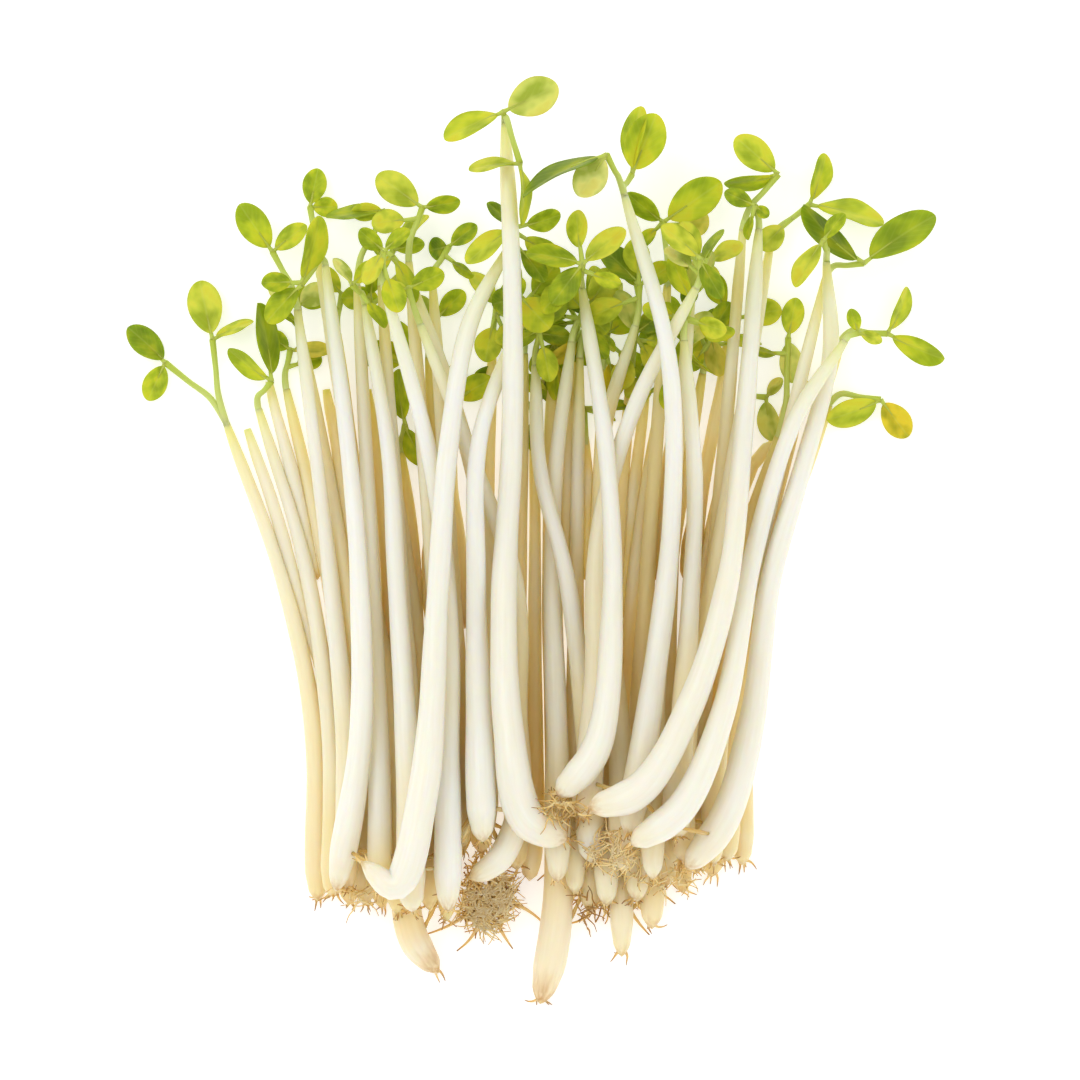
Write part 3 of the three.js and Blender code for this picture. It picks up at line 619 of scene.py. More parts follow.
def stem_skin():
    material, tree, shader = new_material("watery stem flesh, grown in the dark", {
        "Roughness": 0.36, "IOR": 1.38, "Subsurface Weight": 0.9, "Subsurface Scale": 0.003,
        "Subsurface Radius": (1.0, 0.78, 0.45), "Coat Weight": 0.12, "Coat Roughness": 0.22,
    })
    along = add_node(tree, "ShaderNodeAttribute", attribute_name="along")
    skin = add_node(tree, "ShaderNodeAttribute", attribute_name="skin")
    painted_shade = add_node(tree, "ShaderNodeAttribute", attribute_name="painted_shade")
    stain = add_node(tree, "ShaderNodeAttribute", attribute_name="stain")
    grown = add_node(tree, "ShaderNodeValToRGB", {"Fac": along.outputs["Fac"]})
    set_ramp(grown, [(0.0, "#F5EEDB"), (0.06, "#FAF9F4"), (0.8, "#FAF9F4"), (0.94, "#F2F4DA"),
                     (1.0, "#E0E8A8")])
    streaks = add_node(tree, "ShaderNodeTexNoise",
                       {"Vector": skin.outputs["Vector"], "Scale": STREAK_PER_MM, "Detail": 3.0})
    streaked = add_node(tree, "ShaderNodeMix", {
        0: streaks.outputs["Fac"], 6: grown.outputs["Color"], 7: linear("#F5F2E8")},
        data_type="RGBA", blend_type="MULTIPLY")
    # Painted shade: a golden tint multiplied in on stem undersides and on stems deep in the clump, as much as
    # each point's attribute asks.
    shade_tinted = add_node(tree, "ShaderNodeMix", {
        0: painted_shade.outputs["Fac"], 6: streaked.outputs[2], 7: linear("#FFEAB8")},
        data_type="RGBA", blend_type="MULTIPLY")
    torn = add_node(tree, "ShaderNodeMath", {0: stain.outputs["Fac"], 1: streaks.outputs["Fac"]},
                    operation="MULTIPLY")
    stained = add_node(tree, "ShaderNodeMapRange", {
        "Value": torn.outputs[0], "From Min": 0.08, "From Max": 0.5, "To Min": 0.0, "To Max": 0.9})
    rooted = add_node(tree, "ShaderNodeMix", {
        0: stained.outputs[0], 6: shade_tinted.outputs[2], 7: linear("#B58A4A")}, data_type="RGBA")
    tree.links.new(rooted.outputs[2], shader.inputs["Base Color"])
    bump = add_node(tree, "ShaderNodeBump", {
        "Height": streaks.outputs["Fac"], "Strength": 0.25, "Distance": SKIN_RELIEF})
    tree.links.new(bump.outputs["Normal"], shader.inputs["Normal"])
    return material


STEM_SKIN = stem_skin()
print("made", STEM_SKIN.name)

# %% [markdown]
# ## Sweeping the stems
#
# The line of a stem in plan is the very curve that laid it, and its height runs smoothly through the
# heights of its rings. Nothing that grew is a perfect cone: each stem is a little oval, and its thickness
# swells and narrows by a few hundredths over a centimetre or so.
#
# The root strands between the stems are pieces of their own. In one mesh with the stems, light scattered
# inside a stem would run into the strand that enters it, and a dark ring would show there.

# %% How a stem is swept
# Lengths are in millimetres. Shares are parts of the radius, and shades are parts of the golden tint painted
# as shade.
STEM_STEPS = 72
STEM_SIDES = 18
END_DENSITY = 0.11
STREAK_STRETCH = 0.07
SWELL_WAVES = (2.1, 4.3, 9.7)
SWELL_SHARES = (0.012, 0.028)
OWN_SHARE = 0.985
SLIMMER_OVER = (3, 6)
MOST_OVAL = 0.06
ROUND_END = 1.3
NECK_START = 0.88
NECK_RADIUS = 0.48
THINNEST = 0.03
# Painted shade: how much golden tint goes on a stem's underside and on stems deep under the clump's top, and
# the depth at which that tint is full.
UNDERSIDE_PAINTED_SHADE = 0.3
DEPTH_PAINTED_SHADE = 0.7
DEEP = 9.0
OVERHEAD = 2.5
# Painted shade on whole stems: more golden tint on the layers that lie deeper under the others.
LAYER_PAINTED_SHADES = {"bottom": 0.4, "lower": 0.25, "upper": 0.14, "front": 0.0}
# By number of the sprout: the roots that are brown for longer, and those that end in a slim tip.
LONG_STAINS = {4: 2.2, 7: 2.6}
SLIM_ENDS = {4: 0.6, 7: 0.6, 43: 0.45}
shape = np.random.default_rng(11)


def stem_line(curve, heights, count):
    """Centres along a stem, denser at both ends, with the share of its length at each."""
    even = np.linspace(0, 1, count)
    shares = even - END_DENSITY * np.sin(2 * math.pi * even)
    rows = resample(np.column_stack([STEM_RINGS, heights]), 400)
    z = np.interp(shares, rows[:, 0], rows[:, 1])
    return np.column_stack([at_shares(curve, shares), z]), shares


def grown_radii(shares, length, thickness, end_share):
    """Swelling by a few hundredths, slimmer to the root end, rounded off there, and thin at the neck."""
    from_end = shares * length
    swell = sum(shape.uniform(*SWELL_SHARES) * np.sin(from_end / wave + shape.uniform(0, 6.3))
                for wave in SWELL_WAVES)
    radii = stem_share(shares) * thickness / 2 * (1 + swell) * OWN_SHARE
    radii *= 1 - (1 - end_share) * np.exp(-from_end / shape.uniform(*SLIMMER_OVER))
    radii *= np.sqrt(np.clip(1 - (1 - np.clip(from_end / ROUND_END, 0, 1)) ** 2, 0.0, 1))
    neck = np.clip((shares - NECK_START) / (1 - NECK_START), 0, 1) ** 2
    return np.maximum(radii * (1 - neck) + NECK_RADIUS * neck, THINNEST)


def depth_under(x, y, z):
    """How far under the top of the clump a point lies, as a share of the depth where it is darkest."""
    laid = balls[:ball_count]
    over = laid[np.hypot(laid[:, 0] - x, laid[:, 1] - y) < OVERHEAD]
    return np.clip(((over[:, 2] + over[:, 3]).max(initial=z) - z) / DEEP, 0, 1)


def stem_part(centres, radii, shares, length, own_painted_shade, stain):
    oval, turn = shape.uniform(0, MOST_OVAL), shape.uniform(0, 3)
    verts, faces, along, around = sweep(centres, radii, STEM_SIDES, oval, turn)
    # Painted shade: a golden tint that grows with how deep each ring lies under the clump's top, and more on
    # the stem's underside.
    depth = np.array([depth_under(x, y, z + radius) for (x, y, z), radius in zip(centres, radii)])
    painted_shade = own_painted_shade + DEPTH_PAINTED_SHADE * np.convolve(np.pad(depth, 3, mode="edge"), np.ones(7) / 7, "valid")[along]
    at, wide = shares[along], radii[along]
    skin = np.column_stack([wide * np.cos(around), wide * np.sin(around), at * length * STREAK_STRETCH])
    underside = ((1 - np.sin(around)) / 2) ** 1.5
    return {"verts": verts, "faces": faces, "attributes": {
        "along": at, "skin": skin + shape.uniform(0, 50, 3),
        "painted_shade": np.clip(painted_shade + UNDERSIDE_PAINTED_SHADE * underside, 0, 1), "stain": np.exp(-at * length / stain)}}


# %% Sweep the stems of each tuft
END_SHARES = (0.65, 1)
STAIN_LENGTHS = (0.4, 1.2)
STRAND_STEPS = 24
STRAND_SHARE = 0.3
# Painted shade: the golden tint that the root strands start from, before their depth under the clump adds
# more.
STRAND_PAINTED_SHADE = 0.5


def sprout_stem(laid):
    centres, shares = stem_line(laid["curve"], laid["rings"][:, 2], STEM_STEPS)
    length, number = laid["curve"][1][-1], laid["number"]
    end_share = SLIM_ENDS.get(number, shape.uniform(*END_SHARES))
    radii = grown_radii(shares, length, laid["thickness"], end_share)
    own_painted_shade = LAYER_PAINTED_SHADES[laid["tuft"].split("_")[0]] + shape.uniform(0, 0.12)
    stain = LONG_STAINS.get(number, shape.uniform(*STAIN_LENGTHS))
    return stem_part(centres, radii, shares, length, own_painted_shade, stain)


def strand_part(strand):
    """A strand, knotty and stained all along as a root is, so its own length counts for nothing."""
    rows = resample(strand, STRAND_STEPS)
    knots = 1 + 0.15 * np.sin(np.arange(STRAND_STEPS) * 1.3 + shape.uniform(0, 6))
    radii = rows[:, 3] * STRAND_SHARE * knots
    return stem_part(rows[:, :3], radii, np.full(STRAND_STEPS, 0.03), 0.0, STRAND_PAINTED_SHADE, 1.0)


for tuft_name in TUFTS:
    parts = [sprout_stem(laid) for laid in sprouts_laid if laid["tuft"] == tuft_name]
    piece = make_piece(f"sprout_stems_{tuft_name}", parts, [STEM_SKIN])
    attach(piece, "root")
    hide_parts(f"stems_{tuft_name}")
    parts = [strand_part(strand) for strand in strands_laid[tuft_name]]
    strands = make_piece(f"root_strands_{tuft_name}", parts, [STEM_SKIN])
    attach(strands, "root")
print("swept", len(sprouts_laid), "stems and", sum(len(rows) for rows in strands_laid.values()), "strands")

# %% [markdown]
# ## Late sprouts in the gaps
#
# Between the stems that lie on the table a few late, thin sprouts fill the gaps. The solids leave them out.
# Each gives way sideways to the middle of its gap. It is only as thick as the room between its neighbours,
# and they press on each other a little. So its radius at every point is the distance to the nearest ball
# that stands for something laid, and a few hundredths more.

# %% Squeeze stems into the gaps
LATE_THICKNESS = 3.0
LATE_STEPS = 60
MOST_SIDESTEP = 1.2
# Painted shade: the golden tint that the late stems in the gaps start from, before their depth adds more.
LATE_PAINTED_SHADE = 0.4
LATE_LEAST_RADIUS = 0.1
SQUEEZE = 0.04
LATE_STEMS = [
    [[-0.4, -42], [-0.4, -26], [-0.5, -3], [-0.8, 14]], [[-9, -10], [-9.9, 5], [-11, 14]],
    [[-28.6, -4], [-30.2, 5], [-33, 21]], [[-18.6, -14], [-20, 8], [-20.8, 20]],
    [[9, -18], [10.6, -3], [13.4, 20]], [[19.8, -4], [21.1, 11], [22.4, 26]],
    [[5.5, -4], [5.8, 5], [6.1, 14]], [[-24.2, -4], [-25.2, 8], [-26.3, 20]],
    [[3.1, -4], [3.7, 11], [4.3, 26]], [[27.3, -4], [29.9, 5], [34.5, 21]],
    [[-26.5, -18], [-30.6, -3], [-36.2, 15]], [[22, -4], [25.8, 5], [31.5, 19]],
    [[-12.6, -10], [-14, -3], [-16.4, 20]], [[-4.3, -18], [-4.5, -3], [-5, 20]],
    [[13.9, -4], [15.8, 11], [17.6, 26]],
]


def room(x, y, z):
    laid = balls[:ball_count]
    return (np.linalg.norm(laid[:, :3] - (x, y, z), axis=1) - laid[:, 3]).min()


def side_steps(flat):
    """How far each point of a late stem steps sideways, smoothly, to the middle of its gap."""
    steps = np.linspace(-MOST_SIDESTEP, MOST_SIDESTEP, 13)
    best = [steps[np.argmax([room(x + step, y, 1.0) for step in steps])] for x, y in flat]
    return np.convolve(np.pad(best, 6, mode="edge"), np.ones(13) / 13, "valid")


parts, late_tips = [], []
for points in LATE_STEMS:
    curve = plan_curve(points)
    shares = np.linspace(0, 1, LATE_STEPS)
    flat = at_shares(curve, shares)
    flat[:, 0] += side_steps(flat)
    wanted = grown_radii(shares, curve[1][-1], LATE_THICKNESS, 1.0)
    radii = wanted
    for _ in range(3):
        rooms = np.array([room(x, y, radius) for (x, y), radius in zip(flat, radii)])
        radii = np.clip(np.minimum(wanted, rooms + SQUEEZE), LATE_LEAST_RADIUS, None)
    centres = np.column_stack([flat, radii])
    parts.append(stem_part(centres, radii, shares, curve[1][-1], LATE_PAINTED_SHADE, 1.0))
    stamp(np.column_stack([centres, radii]), -1, -1)
    late_tips.append((centres[-1], unit(centres[-1] - centres[-3])))
late_stems = make_piece("late_stems", parts, [STEM_SKIN])
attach(late_stems, "root")
print("squeezed in", len(parts), "late stems")

# %% [markdown]
# ## Leaf green
#
# The first leaflets opened only a day or two ago, so they are a fresh yellow green, paler where the veins
# run and where the blade is youngest, and darker on those that caught more light. A leaf is thin: lit from
# above it glows, so some of the light is scattered inside it. The surface is waxy, with a soft sheen, and
# yellow patches painted on some blades stand for that sheen as well as for real yellowing. Darker blotches
# are painted shade, where the folded half of a blade turns from the light. Each leaflet carries its own
# number for how dark it is, and each point knows where it lies on its blade, which places the veins: a
# midrib, and side veins about a millimetre apart that lean towards the tip.

# %% Leaf skins
VEINS_PER_BLADE = 7.0


def leaf_skin():
    material, tree, shader = new_material("thin waxy leaf blade", {
        "Roughness": 0.5, "IOR": 1.42, "Specular IOR Level": 0.3, "Subsurface Weight": 0.2,
        "Subsurface Scale": 0.0008, "Subsurface Radius": (0.6, 1.0, 0.15),
    })
    place = add_node(tree, "ShaderNodeAttribute", attribute_name="place")
    tint = add_node(tree, "ShaderNodeAttribute", attribute_name="tint")
    parts = add_node(tree, "ShaderNodeSeparateXYZ", {"Vector": place.outputs["Vector"]})
    ground = add_node(tree, "ShaderNodeValToRGB", {"Fac": tint.outputs["Fac"]})
    set_ramp(ground, [(0.0, "#80960E"), (0.3, "#B0BE18"), (0.55, "#CED628"), (0.8, "#DADC4A"),
                      (0.93, "#E4E68C"), (1.0, "#E6CC2C")])
    edge = add_node(tree, "ShaderNodeMath", {0: parts.outputs["Y"]}, operation="ABSOLUTE")
    lean = add_node(tree, "ShaderNodeMath", {0: edge.outputs[0], 1: -0.45, 2: parts.outputs["X"]},
                    operation="MULTIPLY_ADD")
    wave = add_node(tree, "ShaderNodeMath", {0: lean.outputs[0], 1: VEINS_PER_BLADE}, operation="MULTIPLY")
    saw = add_node(tree, "ShaderNodeMath", {0: wave.outputs[0], 1: 0.5}, operation="PINGPONG")
    side_vein = add_node(tree, "ShaderNodeMapRange", {
        "Value": saw.outputs[0], "From Min": 0.0, "From Max": 0.2, "To Min": 0.07, "To Max": 0.0})
    midrib = add_node(tree, "ShaderNodeMapRange", {
        "Value": edge.outputs[0], "From Min": 0.02, "From Max": 0.09, "To Min": 0.18, "To Max": 0.0})
    vein = add_node(tree, "ShaderNodeMath", {0: side_vein.outputs[0], 1: midrib.outputs[0]},
                    operation="MAXIMUM")
    even = add_node(tree, "ShaderNodeVectorMath", {0: place.outputs["Vector"], 1: (1.0, 0.4, 1.0)},
                    operation="MULTIPLY")
    blotches = add_node(tree, "ShaderNodeTexNoise", {"Vector": even.outputs[0], "Scale": 1.9, "Detail": 2.0})
    # Painted shade: darker blotches multiplied in, standing for the half of a folded blade that turns from
    # the light.
    shaded = add_node(tree, "ShaderNodeMapRange", {
        "Value": blotches.outputs["Fac"], "From Min": 0.58, "From Max": 0.36, "To Min": 0.0, "To Max": 1.0})
    mottled = add_node(tree, "ShaderNodeMix", {
        0: shaded.outputs[0], 6: ground.outputs["Color"], 7: linear("#BFCB86")},
        data_type="RGBA", blend_type="MULTIPLY")
    # Painted sheen, with some real yellowing: yellow patches where the noise is high stand for the leaves'
    # glossy sheen.
    yellowing_and_sheen = add_node(tree, "ShaderNodeMapRange", {
        "Value": blotches.outputs["Fac"], "From Min": 0.5, "From Max": 0.78, "To Min": 0.0, "To Max": 0.6})
    yellowed_and_sheened = add_node(tree, "ShaderNodeMix", {
        0: yellowing_and_sheen.outputs[0], 6: mottled.outputs[2], 7: linear("#D8BE22")}, data_type="RGBA")
    veined = add_node(tree, "ShaderNodeMix", {
        0: vein.outputs[0], 6: yellowed_and_sheened.outputs[2], 7: linear("#CDD868")}, data_type="RGBA")
    tree.links.new(veined.outputs[2], shader.inputs["Base Color"])
    bump = add_node(tree, "ShaderNodeBump", {
        "Height": vein.outputs[0], "Strength": 0.35, "Distance": SKIN_RELIEF})
    tree.links.new(bump.outputs["Normal"], shader.inputs["Normal"])
    return material


def stalk_skin():
    material, tree, shader = new_material("smooth green leaf stalk", {
        "Roughness": 0.4, "IOR": 1.4, "Subsurface Weight": 0.3, "Subsurface Scale": 0.0006,
        "Subsurface Radius": (0.7, 1.0, 0.3),
    })
    place = add_node(tree, "ShaderNodeAttribute", attribute_name="place")
    parts = add_node(tree, "ShaderNodeSeparateXYZ", {"Vector": place.outputs["Vector"]})
    grown = add_node(tree, "ShaderNodeValToRGB", {"Fac": parts.outputs["X"]})
    set_ramp(grown, [(0.0, "#E0E8A8"), (0.3, "#D4DE84"), (1.0, "#B8C840")])
    tree.links.new(grown.outputs["Color"], shader.inputs["Base Color"])
    return material


LEAF_SKIN = leaf_skin()
STALK_SKIN = stalk_skin()
print("made", LEAF_SKIN.name, "and", STALK_SKIN.name)

# %% [markdown]
# ## Growing the leaflets
#
# A leaflet is about a quarter of a millimetre thick and oval, widest past its middle. It could be a flat
# card with a picture on it, but from the side a card is a line, so each blade is a closed skin of two
# curved sheets that meet at the rim, with the midrib sunk on top and standing out below.

# %% Grow the sprays
BLADE_STEPS = 16
BLADE_SIDES = 10
BLADE_THICKNESS = 0.26
RIPPLE = 0.035
CURL = (-0.04, 0.14)
TWIST = (-0.12, 0.12)
RIB_RELIEF = 0.12
RIB_WIDTH = 0.14


def blade_width(along):
    """An oval, a little fuller past its middle."""
    return np.sqrt(np.sin(math.pi * np.clip(along, 0, 1) ** 1.15))


def blade_part(leaf, origin, tint):
    along, across = np.meshgrid((1 - np.cos(np.linspace(0.12, math.pi, BLADE_STEPS + 1))) / 2,
                                np.linspace(-1, 1, BLADE_SIDES + 1), indexing="ij")
    wide = across * blade_width(along)
    rim = np.sqrt(np.clip(1 - across ** 2, 0, 1)) * np.sqrt(np.clip(1 - along ** 6, 0, 1))
    ripple = RIPPLE * leaf["width"] * across ** 2 * np.sin(along * shape.uniform(5, 9) + shape.uniform(0, 6))
    rib = RIB_RELIEF * np.exp(-(across / RIB_WIDTH) ** 2)
    curl = -leaf["length"] * shape.uniform(*CURL) * along ** 2
    twist = leaf["width"] * shape.uniform(*TWIST) * wide * along
    sheet = ripple + curl + twist
    top = blade_point(leaf, origin, along, wide, sheet + rim * BLADE_THICKNESS / 2 - rib * 0.5 * rim)
    under = blade_point(leaf, origin, along, wide, sheet - rim * BLADE_THICKNESS / 2 - rib * rim)
    rows, columns = along.shape
    number = np.arange(rows * columns).reshape(rows, columns)
    lower = number + rows * columns
    faces = []
    for i in range(rows - 1):
        for j in range(columns - 1):
            faces.append((number[i, j], number[i, j + 1], number[i + 1, j + 1], number[i + 1, j]))
            faces.append((lower[i, j], lower[i + 1, j], lower[i + 1, j + 1], lower[i, j + 1]))
    border = [(i, 0) for i in range(rows)] + [(rows - 1, j) for j in range(1, columns)]
    border += [(i, columns - 1) for i in range(rows - 2, -1, -1)]
    border += [(0, j) for j in range(columns - 2, 0, -1)]
    for a, b in zip(border, border[1:] + border[:1]):
        faces.append((number[a], number[b], lower[b], lower[a]))
    place = np.stack([along, wide, 0 * along + tint * 9], axis=-1).reshape(-1, 3)
    verts = np.vstack([top.reshape(-1, 3), under.reshape(-1, 3)])
    return {"verts": verts, "faces": faces, "material": 0,
            "attributes": {"place": np.vstack([place, place]), "tint": np.full(len(verts), tint)}}


def stalk_part(rows, start=0.0, end=1.0):
    verts, faces, along, around = sweep(rows[:, :3], rows[:, 3], 10)
    share = start + (end - start) * along / (len(rows) - 1)
    place = np.column_stack([share, np.cos(around), np.sin(around)])
    return {"verts": verts, "faces": faces, "material": 1,
            "attributes": {"place": place, "tint": np.full(len(verts), 0.5)}}


SPRAY_STALK_RADII = (0.44, 0.4, 0.36, 0.42)
LEAFLET_STALK_RADII = (0.36, 0.27, 0.24, 0.12)
# How pale a leaflet is, from dark green to yellow, and how often each comes.
TINTS = [0.08, 0.28, 0.42, 0.52, 0.62, 0.75, 0.9, 1.0]
TINT_ODDS = [0.08, 0.14, 0.2, 0.22, 0.16, 0.1, 0.06, 0.04]


def leaflet_parts(leaf, origin):
    """A leaflet's short stalk, which runs on into its midrib, and its blade."""
    along = np.array([-leaf["start"] / leaf["length"], -0.04, 0.08, 0.35])
    rows = blade_point(leaf, origin, along, 0 * along, 0 * along - 0.05)
    rows[0] = origin
    rows = np.column_stack([rows, LEAFLET_STALK_RADII])
    tint = shape.choice(TINTS, p=TINT_ODDS) + shape.uniform(-0.05, 0.05)
    return [stalk_part(resample(rows, 14), 0.8, 1.0), blade_part(leaf, origin, float(tint))]


def spray_parts(laid, one):
    stalk = one["stalk"].copy()
    stalk[:, 3] = SPRAY_STALK_RADII
    inside = np.array([*(laid["rings"][-1, :3] - laid["heading"] * 0.8), 0.4])
    parts = [stalk_part(resample(np.vstack([inside, stalk]), 28))]
    for leaf in one["leaves"]:
        parts += leaflet_parts(leaf, one["origin"])
    return parts


for laid in sprouts_laid:
    parts = [part for one in laid["sprays"] for part in spray_parts(laid, one)]
    piece = make_piece(f"sprout_leaves_{laid['number']:02d}", parts, [LEAF_SKIN, STALK_SKIN])
    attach(piece, "root")
    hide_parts(f"leaves_{laid['number']:02d}")
print("grew", sum(len(one["leaves"]) for laid in sprouts_laid for one in laid["sprays"]), "leaflets")

# %% [markdown]
# ## Young leaves
#
# Between the open leaflets a sprout carries younger ones on short stalks of their own. They fill the middle
# of the clump's top with green and leave the rim airy. Each is tried in several directions from its place
# on the stalk, and the one that has the most free room among the stems and leaves around it is kept, as a
# growing leaf finds its gap.

# %% Grow the young leaves
YOUNG_TRIES = 14
YOUNG_ROOM = 9.0
YOUNG_REACH = (4.2, 7.2)
YOUNG_LIFT = (-0.5, 0.4)
YOUNG_ROLL = (-1.2, 1.2)
YOUNG_BREADTH = (0.62, 0.82)
YOUNG_STALK = 0.3
TOP = solid_box[1][2] * 1000
LOWEST_LEAF = 0.6
HEIGHT_FINE = 20
THICK_OF_LEAVES = {"x": (-7.0, 24.0), "y": (14.0, 45.0)}
LEAF_BAND = {"x": (-34.0, 35.0), "y": (14.0, 44.0)}


def within(box, x, y):
    return box["x"][0] < x < box["x"][1] and box["y"][0] < y < box["y"][1]


def crowding(rows, near):
    """How deep a leaf's balls sink into what is laid, and a fine for leaving the clump's height."""
    gaps = np.linalg.norm(rows[:, None, :3] - near[None, :, :3], axis=2)
    sunk = np.clip(rows[:, None, 3] + near[None, :, 3] - gaps, 0, None).sum()
    under, over = np.clip(LOWEST_LEAF - rows[:, 2], 0, None), np.clip(rows[:, 2] - TOP + 1, 0, None)
    return sunk + HEIGHT_FINE * under.sum() + HEIGHT_FINE * over.sum()


def young_leaf(fork):
    """The leaflet, of several tried, that has the most room around the fork."""
    near = balls[:ball_count]
    near = near[np.hypot(near[:, 0] - fork[0], near[:, 1] - fork[1]) < YOUNG_ROOM]
    tried = []
    for _ in range(YOUNG_TRIES):
        bearing, reach = shape.uniform(0, 2 * math.pi), shape.uniform(*YOUNG_REACH)
        lift, roll = shape.uniform(*YOUNG_LIFT), shape.uniform(*YOUNG_ROLL)
        axis = unit(np.array([math.cos(bearing), math.sin(bearing), lift]))
        level = unit(np.array([axis[1], -axis[0], 0.0]))
        side = level * math.cos(roll) + np.cross(axis, level) * math.sin(roll)
        length = reach * (1 - YOUNG_STALK)
        leaf = {"length": length, "width": length * shape.uniform(*YOUNG_BREADTH), "axis": axis, "side": side,
                "face": np.cross(side, axis), "start": reach * YOUNG_STALK}
        tried.append((crowding(blade_balls(leaf, fork)[10:], near), leaf))
    return min(tried, key=lambda pair: pair[0])[1]


def young_leaf_parts(fork):
    leaf = young_leaf(fork)
    stamp(blade_balls(leaf, fork), -1, -1)
    return leaflet_parts(leaf, fork)


for tuft_name in TUFTS:
    parts = []
    for one in [one for laid in sprouts_laid if laid["tuft"] == tuft_name for one in laid["sprays"]]:
        x, y, _ = one["origin"]
        if within(THICK_OF_LEAVES, x, y):
            wanted = 3
        else:
            wanted = int(within(LEAF_BAND, x, y) and shape.uniform(0, 1) < 0.5)
        line = resample(one["stalk"], 20)[:, :3]
        for at in shape.integers(7, 20, wanted):
            parts += young_leaf_parts(line[at])
    piece = make_piece(f"young_leaves_{tuft_name}", parts, [LEAF_SKIN, STALK_SKIN])
    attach(piece, "root")

# %% Grow leaves on the late sprouts
LATE_LEAF_BAND = {"x": (-18, 24), "y": (0, 60)}
LATE_STALK_RADII = (0.45, 0.4, 0.32)
parts = []
for tip, heading in [pair for pair in late_tips if within(LATE_LEAF_BAND, *pair[0][:2])]:
    fork = tip + heading * shape.uniform(2.5, 4)
    rows = np.array([tip - heading, tip + heading * 1.2, fork])
    parts.append(stalk_part(resample(np.column_stack([rows, LATE_STALK_RADII]), 10)))
    for _ in range(3):
        parts += young_leaf_parts(fork)
late_leaves = make_piece("late_leaves", parts, [LEAF_SKIN, STALK_SKIN])
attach(late_leaves, "root")
print("the young leaves bring the laid clump to", ball_count, "balls")

# %% [markdown]
# ## Root fibres
#
# The clump holds together by its roots: fine brown fibres that wove through each other in the tray. They
# are dry and matt, darker at their broken ends. Hair strands would be the quick way in Blender, but they
# stay hair and can't be measured or carried elsewhere, so each fibre is a thin swept tube that lies on what
# is under it.

# %% Root skin
def root_skin():
    material, tree, shader = new_material("dry root fibre", {
        "Roughness": 0.8, "IOR": 1.45, "Subsurface Weight": 0.4, "Subsurface Scale": 0.0005,
        "Subsurface Radius": (1.0, 0.75, 0.4)})
    place = add_node(tree, "ShaderNodeAttribute", attribute_name="place")
    parts = add_node(tree, "ShaderNodeSeparateXYZ", {"Vector": place.outputs["Vector"]})
    grown = add_node(tree, "ShaderNodeValToRGB", {"Fac": parts.outputs["X"]})
    set_ramp(grown, [(0.0, "#FFF2CC"), (0.5, "#FBE4B0"), (0.85, "#E8C480"), (1.0, "#8C6430")])
    grain = add_node(tree, "ShaderNodeTexNoise", {
        "Vector": place.outputs["Vector"], "Scale": 6.0, "Detail": 2.0})
    mottled = add_node(tree, "ShaderNodeMix", {
        0: grain.outputs["Fac"], 6: grown.outputs["Color"], 7: linear("#FAE8C0")},
        data_type="RGBA", blend_type="MULTIPLY")
    tree.links.new(mottled.outputs[2], shader.inputs["Base Color"])
    return material


ROOT_SKIN = root_skin()
print("made", ROOT_SKIN.name)

# %% Lay the fibres
FIBRE_SIDES = 6
FIBRE_STEP = 1.1
WANDER = 0.5
STEEPEST_DROP = 1.0
CRAWL_RADIUS = 0.08
END_FIBRE_COUNTS = (3, 7)
END_FIBRE_LENGTHS = (0.9, 2.0)
END_FIBRE_RADII = (0.2, 0.04)


def fibre_part(points, thick, thin, dark):
    rows = resample(np.array(points), 4 * len(points))
    radii = np.linspace(thick, thin, len(rows))
    verts, faces, along, around = sweep(rows, radii, FIBRE_SIDES)
    share = dark + (1 - dark) * along / (len(rows) - 1)
    place = np.column_stack([share, np.cos(around), along * 0.3 + shape.uniform(0, 9)])
    return {"verts": verts, "faces": faces, "attributes": {"place": place}}


def crawl(start, bearing, length, radius, climb, owner=-1):
    """Points of a fibre that wanders from a start and lies on what is under it."""
    steps = max(3, round(length / FIBRE_STEP))
    x, y, z = start
    points = [(x, y, z)]
    for _ in range(steps):
        bearing += shape.uniform(-WANDER, WANDER)
        x += length / steps * math.cos(bearing)
        y += length / steps * math.sin(bearing)
        floor = rest_height(x, y, radius, skip_owner=owner) - CLEARANCE
        z = min(max(floor, z - STEEPEST_DROP), z + climb)
        points.append((x, y, max(z, radius)))
    return points


def end_fibres(laid):
    parts = []
    base = laid["rings"][0]
    back = laid["rings"][0, :2] - laid["rings"][2, :2]
    bearing = math.atan2(back[1], back[0])
    for _ in range(shape.integers(*END_FIBRE_COUNTS)):
        turn = shape.uniform(-1.1, 1.1)
        start = base[:3] + np.array([*(unit(back) * -0.6), shape.uniform(-0.4, 0.4)])
        start[0] += shape.uniform(-0.5, 0.5)
        length = shape.uniform(*END_FIBRE_LENGTHS)
        points = crawl(start, bearing + turn, length, CRAWL_RADIUS, 0.4, laid["number"])
        parts.append(fibre_part(points, *END_FIBRE_RADII, shape.uniform(0.4, 0.9)))
    return parts


for tuft_name in TUFTS:
    parts = [part for laid in sprouts_laid if laid["tuft"] == tuft_name for part in end_fibres(laid)]
    piece = make_piece(f"root_fibres_{tuft_name}", parts, [ROOT_SKIN])
    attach(piece, "root")
    print("the roots of", tuft_name, "end in", len(parts), "fibres")

# %% Tangle the mats
CORE_FIBRES = 260
CORE_LENGTHS = (1.5, 3.5)
CORE_RADII = (0.17, 0.07)
ROOTLET_RADII = (0.3, 0.08)
WOVEN_LENGTHS = (1.2, 3.2)
WOVEN_RADII = (0.12, 0.04)
